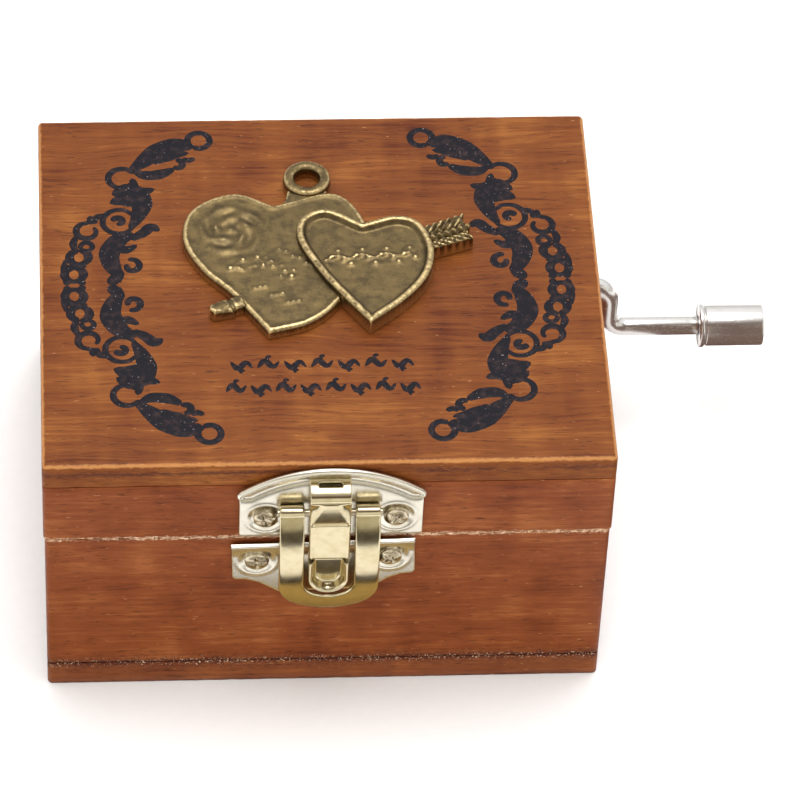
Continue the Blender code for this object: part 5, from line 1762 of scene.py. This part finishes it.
@dataclass(frozen=True)
class BentSheet:
    """Wraps a flat sheet round a bend: the line is (out from the front, height) through its middle."""

    line: Array
    thickness: float
    front: float
    turn: float = 0.0
    about: Point = (0.0, 0.0)

    def length_at(self, height: float) -> float:
        """How far along the line it last passes a height.

        Args:
            height: the height.

        Returns:
            The length, or the whole line's where it never passes.
        """
        run = run_along(self.line)
        for k in range(len(run) - 1, 0, -1):
            before, after = self.line[k - 1][1], self.line[k][1]
            if min(before, after) <= height <= max(before, after):
                share = (height - before) / (after - before) if after != before else 0
                return float(run[k - 1] + share * (run[k] - run[k - 1]))
        return float(run[-1])

    def placing(self) -> Placing:
        """Turns rows of (x, length along the bend, height over the back) into rows of (x, y, z).

        Returns:
            The placing.
        """
        run = run_along(self.line)
        tangent = unit(np.gradient(self.line, axis=0))
        falling = self.line[-1][1] < self.line[0][1]
        normal = np.column_stack([-tangent[:, 1], tangent[:, 0]]) * (1 if falling else -1)
        upright = facing_front(0, self.turn, self.about)

        def placed(rows: Array) -> Array:
            """Bends the rows.

            Args:
                rows: the points.

            Returns:
                Their heights.
            """
            s = rows[:, 1]
            out, z = (np.interp(s, run, self.line[:, k]) for k in (0, 1))
            side = unit(np.column_stack([np.interp(s, run, normal[:, k]) for k in (0, 1)]))
            lift = rows[:, 2] - self.thickness / 2
            stood = upright(np.column_stack([rows[:, 0], z + side[:, 1] * lift, np.zeros(len(rows))]))
            stood[:, 1] = self.front - out - side[:, 0] * lift
            return stood

        return placed


@dataclass
class FrontLatch(SubAssembly):
    """The pressed brass latch: arched lid plate with a strap, swinging loop, base plate and catch."""

    sheet: float = 0.5
    lid_front: float = -27.0
    seam: float = 25.6
    lid_plate_x: float = 0.2
    lid_plate_half: float = 10.3
    shoulder: float = 34.1
    arch: float = 3.1
    bead: float = 0.42
    pin_out: float = 1.62
    pin_z: float = 31.5
    pin_radius: float = 0.45
    curl_radius: float = 0.92
    strap_half: float = 2.3
    strap_out: float = 2.6
    strap_hump: float = 3.1
    strap_top: float = 35.9
    strap_foot: float = 24.6
    tongue_half: float = 5.65
    slot_half: float = 2.85
    slot_foot: float = 18.2
    tongue_foot: float = 14.85
    tongue_end_out: float = 1.35
    tongue_bulge: float = 1.3
    base_x: float = -0.5
    base_half: float = 10.35
    base_skew: float = 1.8
    base_plate_sink: float = 0.05
    lid_screw_x: float = 7.3
    lid_screw_z: float = 29.5
    base_screw_x: float = 7.5
    base_screw_z: float = 22.3
    dimple: float = 2.05
    screw: CrossScrew = CrossScrew()

    def dimples(self, u: Array, v: Array, centres: Sequence[Point]) -> Array:
        """Pressed seats for the screws: a sunk cone inside a low raised ring.

        Args:
            u, v: the points.
            centres: the seats' centres.

        Returns:
            The height at each point.
        """
        total = np.zeros(len(u))
        for x, z in centres:
            radius = np.hypot(u - x, v - z)
            total -= 0.26 * falls(radius, 0.86 * self.dimple, 0.10)
            total += 0.07 * ridge(radius, 1.12 * self.dimple, 0.22)
        return total

    def build(self) -> None:
        """Makes the latch's pieces."""
        for name, meshes, finish, body, replaces in (
            ("latch_lid_plate_pressed", [self.lid_plate(), self.lid_bead()], PLATE_BRASS, "lid",
             ["latch_lid_plate"]),
            ("latch_strap_folded", [self.strap()], LATCH_BRASS, "lid", ()),
            ("latch_tongue_loop", [self.tongue()], LATCH_BRASS, "latch_tongue", ["latch_tongue"]),
            ("latch_base_plate_pressed", [self.base_plate()], PLATE_BRASS, "base", ["latch_base_plate"]),
            ("latch_catch_cup", [self.catch()], LATCH_BRASS, "base", ["latch_catch"]),
        ):
            mesh = join_meshes(name, meshes)
            mark_rub(mesh, 3.0)
            self.add(name, mesh, finish, body, "latch_brass", replaces, 50)
        y = self.lid_front - self.pin_out
        half = self.tongue_half + self.sheet / 2
        pin = tube("latch_pin", [(x, y, self.pin_z) for x in (-half, 0, half)], self.pin_radius, 24)
        self.add("latch_hinge_pin_rod", pin, SCREW_BRASS, "lid", "latch_brass", ["latch_hinge_pin"])
        self.screws()

    def arch_line(self) -> list[Point]:
        """The lid plate's arched top, from right to left.

        Returns:
            The points.
        """
        half_chord = self.lid_plate_half - 2 * self.bead
        radius = (half_chord**2 + self.arch**2) / (2 * self.arch)
        reach = math.degrees(math.asin(half_chord / radius))
        centre = (self.lid_plate_x, self.shoulder + self.arch - radius)
        return arc_points(centre, radius, 90 - reach, 90 + reach, 36)

    def lid_plate(self) -> Mesh:
        """The arched plate, hollowed under its rolled edge.

        Returns:
            The mesh.
        """
        left, right = self.lid_plate_x - self.lid_plate_half, self.lid_plate_x + self.lid_plate_half
        foot = self.seam + 0.8
        arch = self.arch_line()
        top, cut = self.shoulder, 0.3
        outline = [(left + cut, foot), (right - cut, foot), (right, foot + cut), (right, top - cut),
                   (right - cut, top), *arch, (left + cut, top), (left, top - cut), (left, foot + cut)]
        centres = [(self.lid_plate_x + s * self.lid_screw_x, self.lid_screw_z) for s in (-1, 1)]
        line = np.array(arch)

        def relief(u: Array, v: Array) -> Array:
            """The screw seats, and a channel that follows the arch."""
            channel = -0.16 * ridge(off_line(np.column_stack([u, v]), line), 1.25, 0.5)
            return channel + self.dimples(u, v, centres)

        plate = Plate(outline, self.sheet, 0.14, 0.26)
        return plate.mesh("lid_plate", relief, facing_front(self.lid_front - 0.1))

    def lid_bead(self) -> Mesh:
        """The rolled edge along the arch, with its ends curled outward.

        Returns:
            The mesh.
        """
        y = self.lid_front - 0.1 - self.sheet
        arch = self.arch_line()
        ends = []
        for point, sign in ((arch[0], 1), (arch[-1], -1)):
            curled = [(point[0] + sign * dx, y - out, point[1] + dz)
                      for dx, dz, out in ((0.45, -0.30, 0.0), (0.72, -0.62, 0.05), (0.62, -0.98, 0.1))]
            ends.append(curled)
        path = [*reversed(ends[0]), *[(x, y, z) for x, z in arch], *ends[1]]
        return tube("lid_bead", curve_through(path, 2), self.bead, 16)

    def strap(self) -> Mesh:
        """The strap that bows out over the hinge pin and hangs straight down over the catch.

        Returns:
            The mesh.
        """
        half = self.sheet / 2
        face = self.strap_out - half
        bow = self.strap_hump - half
        bend = [
            (0.42, self.strap_top - half),
            (1.3, self.strap_top - 0.36),
            (2.15, self.strap_top - 0.62),
            (bow - 0.13, self.strap_top - 1.1),
            (bow, self.strap_top - 1.75),
            (bow - 0.1, self.pin_z + 1.7),
            (bow - 0.3, self.pin_z + 0.4),
            (face + 0.02, self.pin_z - 0.75),
            (face - 0.02, self.pin_z - 1.7),
            (face, self.strap_foot + 2.5),
            (face, self.strap_foot),
        ]
        sheet = BentSheet(curve_through(bend, 8), self.sheet, self.lid_front)
        total = run_along(sheet.line)[-1]
        crease, bend_start = sheet.length_at(self.pin_z - 1.0), sheet.length_at(self.strap_top - 1.6)
        wide, cut = self.strap_half, 0.3
        outline = [(-wide, 0), (wide, 0), (wide, total - cut), (wide - cut, total), (-wide + cut, total),
                   (-wide, total - cut)]

        def relief(u: Array, v: Array) -> Array:
            """Side rails, slanted facets on the bow, and a crease where the bow ends.

            Args:
                u, v: the points.

            Returns:
                Their heights.
            """
            side = np.abs(u)
            rails = 0.12 * ridge(side, 2.02, 0.2) * rises(v, crease, 0.2)
            fold = -0.20 * ridge(v, crease, 0.15) * falls(side, 1.95, 0.06)
            share = np.clip((v - bend_start) / (crease - bend_start), 0, 1)
            facet = -0.34 * np.clip(side - 0.75 - 1.35 * share, 0, 2) * np.sin(math.pi * share) ** 0.5
            return rails + fold + facet

        window = [(-1.25, 0.5), (1.25, 0.5), (1.35, 0.8), (1.2, 1.1), (-1.2, 1.1), (-1.35, 0.8)]
        plate = Plate(outline, self.sheet, 0.13, 0.2, [window], back_rounded=True)
        return plate.mesh("strap", relief, sheet.placing())

    def tongue(self) -> Mesh:
        """The loop: curled round the pin at the top of each arm, and bowed down to a round foot.

        Returns:
            The mesh.
        """
        middle = self.curl_radius - self.sheet / 2
        curl_line = [(self.pin_out - middle * math.cos(a), self.pin_z + middle * math.sin(a))
                     for a in np.radians(np.linspace(-75, 170, 22))]
        start = np.array([self.pin_out + middle, self.pin_z])
        end = np.array([self.tongue_end_out, self.tongue_foot - self.sheet])
        chord = end - start
        out = np.array([-chord[1], chord[0]]) / np.linalg.norm(chord)
        shares = np.linspace(0, 1, 40)
        bow = [start + chord * t + out * 4 * t * (1 - t) * self.tongue_bulge for t in shares]
        sheet = BentSheet(np.array([*curl_line, *bow]), self.sheet, self.lid_front)
        lobe_z = self.tongue_foot + self.tongue_half
        slot_z = self.slot_foot + self.slot_half
        lobe, slot = sheet.length_at(lobe_z), sheet.length_at(slot_z)
        outline = [(-self.tongue_half, 0), *arc_points((0, lobe), self.tongue_half, 180, 0, 40),
                   (self.tongue_half, 0), (self.slot_half, 0),
                   *arc_points((0, slot), self.slot_half, 0, 180, 26), (-self.slot_half, 0)]

        def relief(u: Array, v: Array) -> Array:
            """A faint crown across each arm, which throws the light in bands."""
            radius = np.where(v > slot, np.hypot(u, v - slot), np.abs(u))
            middle_line = (self.tongue_half + self.slot_half) / 2
            return -0.06 * ((radius - middle_line) / 1.4) ** 2 - 0.01

        plate = Plate(outline, self.sheet, 0.15, 0.24, back_rounded=True)
        return plate.mesh("tongue", relief, sheet.placing())

    def base_plate(self) -> Mesh:
        """The base plate: two winged lobes, a turned-out lip along the top, set a little askew.

        Returns:
            The mesh.
        """
        top = self.seam
        middle = self.sheet / 2 - self.base_plate_sink
        foot = top - 9.1
        bend = curve_through(
            [(middle, foot), (middle, foot + 3), (middle, top - 2.9), (middle + 0.04, top - 2.3),
             (middle + 0.19, top - 1.65), (middle + 0.42, top - 0.95), (middle + 0.66, top - 0.3)], 8
        )
        about = (0.0, top - 3.5)
        sheet = BentSheet(bend, self.sheet, self.lid_front, math.radians(self.base_skew), about)
        high, wing = run_along(sheet.line)[-1], sheet.length_at(top - 6.5)
        low = sheet.length_at(top - 8.9)
        b = self.base_half
        right = [(5.2, low), (b - 3.0, wing - 0.7), (b - 1.5, wing - 0.1), (b - 0.35, wing),
                 (b, wing + 0.35), (b, high)]
        outline = [*((-x, y) for x, y in reversed(right)), *right]
        seats = [(s * self.base_screw_x, sheet.length_at(self.base_screw_z)) for s in (-1, 1)]

        def relief(u: Array, v: Array) -> Array:
            """The screw seats."""
            return self.dimples(u, v, seats)

        mesh = Plate(outline, self.sheet, 0.14, 0.26).mesh("base_plate", relief, sheet.placing())
        mesh.transform(Matrix.Translation((self.base_x * MM, 0, 0)))
        return mesh

    def catch(self) -> Mesh:
        """The cup in the loop's slot: a U-shaped wall round a hollow floor, open at the top.

        Returns:
            The mesh.
        """
        low, high = cad_box("latch_catch")
        half, wall = (high.x - low.x) / 2, 0.45
        middle = low.z + half
        depth = high.y - low.y
        outline = [(half, high.z), (-half, high.z), *arc_points((0, middle), half, 180, 360, 28)]
        above = high.z + 3
        ring = [(-half, above), *arc_points((0, middle), half, 180, 360, 40), (half, above)]
        ring = resampled(ring, 0.15)

        def relief(u: Array, v: Array) -> Array:
            """A dished floor inside the wall."""
            hollow = rises(off_line(np.column_stack([u, v]), ring), wall + 0.12, 0.07)
            dish = 0.35 * np.clip((v - low.z) / (high.z - low.z), 0, 1) * hollow
            return -(depth - 0.75) * hollow + dish

        return Plate(outline, depth, 0.12, 0.17).mesh("catch", relief, facing_front(high.y))

    def screws(self) -> None:
        """Drives the four screws."""
        for k, node in enumerate(("latch_screw_lid_left", "latch_screw_lid_right",
                                  "latch_screw_base_left", "latch_screw_base_right")):
            low, high = cad_box(node)
            x, z = (low.x + high.x) / 2, (low.z + high.z) / 2
            lid = "lid" in node
            seat = (x, self.lid_front - (0.36 if lid else 0.22), z)
            mesh = self.screw.mesh(node, seat, (0, -1, 0), 20 + 37 * k)
            self.add(f"{node}_cross", mesh, SCREW_BRASS, "lid" if lid else "base", "screw_plate", [node], 40)


# ---- the hinges


@dataclass
class BackHinges(SubAssembly):
    """Two small butt hinges with their pins and screws."""

    bevel: float = 0.07
    screw: CrossScrew = CrossScrew(length=3.6)

    def build(self) -> None:
        """Dresses the leaves and pins, and drives the eight screws."""
        for side in ("left", "right"):
            for leaf, body in (("base_leaf", "base"), ("lid_leaf", "lid"), ("pin", "base")):
                node = f"hinge_{side}_{leaf}"
                mesh = refined_copy(node, self.bevel)
                mark_rub(mesh, 2.0)
                finish = SCREW_BRASS if leaf == "pin" else HINGE_BRASS
                self.add(f"{node}_brass", mesh, finish, body, "hinge_brass", [node], 40)
            for body in ("base", "lid"):
                for k, hand in enumerate(("left", "right")):
                    node = f"hinge_{side}_{body}_screw_{hand}"
                    low, high = cad_box(node)
                    seat = ((low.x + high.x) / 2, high.y - self.screw.height, (low.z + high.z) / 2)
                    turn = 15 + 50 * k + (30 if body == "lid" else 0)
                    mesh = self.screw.mesh(node, seat, (0, 1, 0), turn)
                    self.add(f"{node}_cross", mesh, SCREW_BRASS, body, "screw_plate", [node], 40)


# ---- the crank


def rounded_path(corners: Sequence[Point], radius: float, steps: int = 12) -> Array:
    """A path through corners, with each inner corner turned by an arc.

    Args:
        corners: the corners.
        radius: the arcs' radius.
        steps: the steps in each arc.

    Returns:
        The path's points.
    """
    line = [np.array(c, float) for c in corners]
    path = [line[0]]
    for before, corner, after in zip(line, line[1:], line[2:]):
        back, ahead = before - corner, after - corner
        back, ahead = back / np.linalg.norm(back), ahead / np.linalg.norm(ahead)
        half = math.acos(float(np.clip(back @ ahead, -1, 1))) / 2
        reach = radius / math.tan(half)
        bisector = (back + ahead) / np.linalg.norm(back + ahead)
        centre = corner + bisector * radius / math.sin(half)
        start, end = corner + back * reach - centre, corner + ahead * reach - centre
        sweep = math.pi - 2 * half
        for k in range(steps + 1):
            t = sweep * k / steps
            path.append(centre + (start * math.sin(sweep - t) + end * math.sin(t)) / math.sin(sweep))
    path.append(line[-1])
    return np.array(path)


@dataclass
class HandCrank(SubAssembly):
    """The bent nickel wire and its turned knob."""

    bend: float = 2.3
    knob_radius: float = 2.5
    flange_radius: float = 2.65
    flange: float = 0.7

    def build(self) -> None:
        """Bends the wire and turns the knob."""
        joints = {j["name"]: [c / MM for c in j["pos_m"]] for j in frame["joints"]}
        arm, y, shaft_z = joints["crank_turn"]
        handle_z = joints["knob_spin"][2]
        wire_low, wire_high = cad_box("crank_wire")
        path = rounded_path(
            [(wire_low.x + 0.05, y, shaft_z), (arm, y, shaft_z), (arm, y, handle_z),
             (wire_high.x - 0.05, y, handle_z)],
            self.bend,
            18,
        )
        wire = tube("crank_wire", path, CRANK_WIRE_RADIUS, 40)
        self.add("crank_wire_bent", wire, CRANK_NICKEL, "crank", "crank_nickel", ["crank_wire"], 45)
        self.knob(y, handle_z)

    def knob(self, y: float, z: float) -> None:
        """The knob: a thin flange, a groove and a plain barrel with a dished end.

        Args:
            y: where its axis is.
            z: how high its axis is.
        """
        low, high = cad_box("crank_knob")
        start, end, r, f = low.x, high.x, self.knob_radius, self.flange_radius
        bore, depth = CRANK_WIRE_RADIUS + 0.14, self.flange
        profile = [
            (start, bore), (start, f - 0.22), (start + 0.07, f - 0.07), (start + 0.2, f),
            (start + depth - 0.28, f), (start + depth - 0.12, f - 0.07), (start + depth - 0.04, f - 0.22),
            (start + depth, r - 0.30), (start + depth + 0.08, r - 0.28), (start + depth + 0.12, r - 0.08),
            (start + depth + 0.2, r - 0.01), (start + depth + 0.3, r), (end - 0.2, r), (end - 0.09, r - 0.03),
            (end - 0.02, r - 0.1), (end, r - 0.2), (end - 0.03, r - 0.6), (end - 0.25, r - 0.85),
            (end - 0.32, 0.55), (end - 0.26, 0.0),
        ]
        bored = [(end - 1.3, 0.0), (end - 1.3, bore)]
        mesh = turned("crank_knob", [*bored, *profile], (0, y, z), "X", 72)
        self.add("crank_knob_turned", mesh, CRANK_NICKEL, "crank_knob", "crank_nickel", ["crank_knob"], 40)


# ---- the movement


@dataclass
class Movement(SubAssembly):
    """Bedplate, comb, pinned drum, worm and wheel."""

    bevel: float = 0.05
    pins_per_lane: int = 11
    pin_radius: float = 0.2
    pin_height: float = 0.45
    shell_wall: float = 0.7
    lanes: int = 18
    end_margin: float = 1.0

    def build(self) -> None:
        """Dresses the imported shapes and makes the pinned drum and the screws."""
        for finish, body, slot, nodes in (
            (BED_ZINC, "base", "bed_zinc", (
                "bedplate", "comb_block", "drum_bearing_front", "drum_bearing_rear",
                "crank_bearing_inner", "crank_bearing_outer",
            )),
            (COMB_STEEL, "base", "comb_steel", ("comb",)),
            (WORM_STEEL, "crank", "worm_steel", ("worm", "shaft_collar")),
            (PLASTIC, "drum", "wheel_plastic", ("worm_wheel",)),
            (DRUM_BRASS, "drum", "drum_brass", ("drum_head_front", "drum_head_rear")),
            (WORM_STEEL, "drum", "worm_steel", ("drum_axle",)),
        ):
            for node in nodes:
                mesh = refined_copy(node, self.bevel, 28)
                mark_rub(mesh, 2.0)
                self.add(f"{node}_finished", mesh, finish, body, slot, [node], 40)
        self.drum()
        screws = [n for n in sorted(frame["nodes"]) if n.startswith(("comb_screw", "movement_screw"))]
        for k, node in enumerate(screws):
            self.screw_for(node, k)

    def screw_for(self, node: str, k: int) -> None:
        """The screw that stands for one packed screw, head up on the comb and head down under the floor.

        Args:
            node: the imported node.
            k: its place among the screws, which turns its cross.
        """
        low, high = cad_box(node)
        up = "comb" in node
        radius = (high.x - low.x) / 2
        screw = CrossScrew(radius, 0.9 if up else 0.8, radius * 0.46, high.z - low.z - 0.9)
        x, y = (low.x + high.x) / 2, (low.y + high.y) / 2
        seat = (x, y, high.z - screw.height) if up else (x, y, low.z + screw.height)
        mesh = screw.mesh(node, seat, (0, 0, 1 if up else -1), 25 + 40 * k)
        self.add(f"{node}_cross", mesh, WORM_STEEL, "base", "screw_plate", [node], 40)

    def drum(self) -> None:
        """The thin brass drum and its rows of pins, one row to each comb tooth."""
        low, high = cad_box("drum_shell")
        joint = next(j for j in frame["joints"] if j["name"] == "drum_turn")
        x, z = joint["pos_m"][0] / MM, joint["pos_m"][2] / MM
        outer = (high.z - low.z) / 2
        shell = outer - self.pin_height
        inner = shell - self.shell_wall
        run = [(low.y, inner), (low.y, shell - 0.1), (low.y + 0.1, shell), (high.y - 0.1, shell),
               (high.y, shell - 0.1), (high.y, inner)]
        meshes = [turned("drum_shell", run, (x, 0, z), "Y", 96)]
        draw = random.Random(11)
        pitch = (high.y - low.y - 2 * self.end_margin) / self.lanes
        pin = [(shell - 0.1, 0), (shell - 0.1, self.pin_radius), (outer - 0.12, self.pin_radius),
               (outer - 0.03, self.pin_radius * 0.7), (outer - 0.01, 0)]
        for lane in range(self.lanes):
            y = low.y + self.end_margin + pitch * (lane + 0.5)
            for k in range(self.pins_per_lane):
                angle = math.tau * (k + draw.uniform(0.1, 0.9)) / self.pins_per_lane
                mesh = turned("pin", pin, (0, 0, 0), "Z", 8)
                turn = Matrix.Translation(Vector((x, y, z)) * MM) @ Matrix.Rotation(angle, 4, "Y")
                mesh.transform(turn)
                meshes.append(mesh)
        whole = join_meshes("drum_shell", meshes)
        mark_rub(whole, 2.0)
        self.add("drum_shell_pinned", whole, DRUM_BRASS, "drum", "drum_brass", ["drum_shell"], 35)


# ---- the studio


@dataclass
class Studio:
    """White sweep, soft lights and the camera."""

    aim: Point = (10.5, 8.6, 8.6)
    distance: float = 650.0
    azimuth: float = 5.13
    elevation: float = 47.97
    roll: float = 2.9
    lens: float = 245.4
    floor_half: float = 6000.0
    room_strength: float = 1.2
    back_wall: Sequence[tuple[float, Point]] = (
        (0.0, (0.42, 0.41, 0.40)), (0.12, (0.50, 0.49, 0.48)), (0.35, (0.80, 0.80, 0.79)),
        (0.75, (0.95, 0.95, 0.95)), (1.0, (0.70, 0.69, 0.67)),
    )
    front_wall: Sequence[tuple[float, Point]] = (
        (0.0, (0.45, 0.42, 0.34)), (0.20, (0.80, 0.77, 0.68)), (0.60, (0.80, 0.76, 0.68)),
        (0.68, (0.10, 0.06, 0.04)), (0.79, (0.12, 0.08, 0.06)), (0.90, (0.40, 0.35, 0.32)),
        (1.0, (0.75, 0.74, 0.72)),
    )

    def build(self) -> None:
        """Sets up the floor, the surrounding light, the lamps and the camera."""
        self.floor()
        self.surround()
        self.lamp("overhead_softbox", (30, 70, 700), 420, 3.1)
        self.lamp("front_fill", (-60, -620, 330), 420, 2.0, in_metal=False)
        self.lamp("back_fill", (120, 600, 320), 420, 1.2, in_metal=False)
        for name, near, far, finish in (
            ("far_cloth", -170, -86, GREEN_CLOTH),
            ("dark_cloth", -86, -66, DARK_CLOTH),
            ("dark_hem", -45, -40.5, DARK_CLOTH),
            ("near_cloth", -40.5, -27.3, GOLD_CLOTH),
        ):
            self.cloth(name, [(-40, near, 0.05), (32, near, 0.05), (32, far, 0.05), (-40, far, 0.05)], finish)
        left, right, near, far = 43.5, 100, -50, 34
        lying_down = [(left, near, 0.05), (right, near, 0.05), (right, far, 0.05), (left, far, 0.05)]
        standing = [(left, near, 0.1), (right, near, 0.1), (right, near, 75), (left, near, 75)]
        self.cloth("crank_cloth", lying_down, WARM_CLOTH)
        self.cloth("crank_card", standing, WARM_CLOTH)
        self.camera()

    def floor(self) -> None:
        """A level sweep of white paper, a hair under the box."""
        half, steps = self.floor_half, 8
        rows = np.linspace(-half, half, steps + 1)
        points = [(x, y, -0.02) for y in rows for x in rows]
        row = steps + 1
        corners = [k * row + j for k in range(steps) for j in range(steps)]
        faces = [(c, c + 1, c + row + 1, c + row) for c in corners]
        mesh = mesh_from("studio_floor", points, faces)
        mesh.materials.append(finish_of(PAPER))
        linked("studio_floor", mesh)

    def surround(self) -> None:
        """A pale room: bright overhead, greyer towards the horizon, so that metal shows bands."""
        world = bpy.data.worlds.new("studio_surround")
        world.use_nodes = True
        bpy.context.scene.world = world
        wiring = Wiring(world.node_tree)
        direction = wiring.node("ShaderNodeTexCoord").outputs["Generated"]
        axes = wiring.axes(direction)
        shades = []
        for stops in (self.back_wall, self.front_wall):
            ramp = wiring.node("ShaderNodeValToRGB", {"Fac": axes["Z"]})
            elements = ramp.color_ramp.elements
            while len(elements) < len(stops):
                elements.new(0.5)
            for element, (place, shade) in zip(elements, stops):
                element.position, element.color = place, colour(*shade)
            shades.append(ramp.outputs["Color"])
        ahead = wiring.step(axes["Y"], 0.05, -0.5)
        background = world.node_tree.nodes["Background"]
        wiring.tree.links.new(wiring.mix(ahead, *shades), background.inputs["Color"])
        background.inputs["Strength"].default_value = self.room_strength

    def cloth(self, name: str, points: Sequence[Point], finish: object) -> None:
        """A cloth or card that only shows in the metal.

        Args:
            name: its name.
            points: its four corners.
            finish: its finish.
        """
        mesh = mesh_from(name, points, [(0, 1, 2, 3)])
        mesh.materials.append(finish_of(finish))
        cloth = linked(name, mesh)
        cloth.visible_camera = cloth.visible_diffuse = cloth.visible_shadow = False

    def lamp(self, name: str, place: Point, size: float, power: float, in_metal: bool = True) -> None:
        """A square softbox that faces the box.

        Args:
            name: its name.
            place: where it hangs.
            size: its side.
            power: its power in watts.
            in_metal: whether metal mirrors it.
        """
        data = bpy.data.lights.new(name, "AREA")
        data.size, data.energy = size * MM, power
        lamp = linked(name, data)
        lamp.location = Vector(place) * MM
        lamp.visible_glossy = in_metal
        aim = Vector((0, 0, 20)) * MM - lamp.location
        lamp.rotation_mode = "QUATERNION"
        lamp.rotation_quaternion = aim.to_track_quat("-Z", "Y")

    def camera(self) -> None:
        """The camera, from its aim, distance and angles."""
        data = bpy.data.cameras.new("studio_camera")
        data.lens, data.sensor_width = self.lens, 36.0
        data.clip_start, data.clip_end = 0.05, 50.0
        camera = linked("studio_camera", data)
        a, e = math.radians(self.azimuth), math.radians(self.elevation)
        ahead = Vector((math.sin(a) * math.cos(e), math.cos(a) * math.cos(e), -math.sin(e)))
        camera.location = (Vector(self.aim) - ahead * self.distance) * MM
        camera.rotation_mode = "QUATERNION"
        roll = Quaternion((0, 0, 1), math.radians(self.roll))
        camera.rotation_quaternion = ahead.to_track_quat("-Z", "Y") @ roll
        bpy.context.scene.camera = camera
        bpy.context.scene.view_settings.view_transform = "Standard"


def main() -> None:
    """Builds the studio and the music box."""
    logging.basicConfig(level=logging.INFO, format="%(name)s: %(message)s")
    Studio().build()
    for kind in (WoodenBox, PrintedScrolls, HeartCharm, FrontLatch, BackHinges, HandCrank, Movement):
        assembly = kind()
        assembly.build()
        LOG.info("%s: %d pieces", kind.__name__, len(assembly.made))


if __name__ == "__main__":
    main()
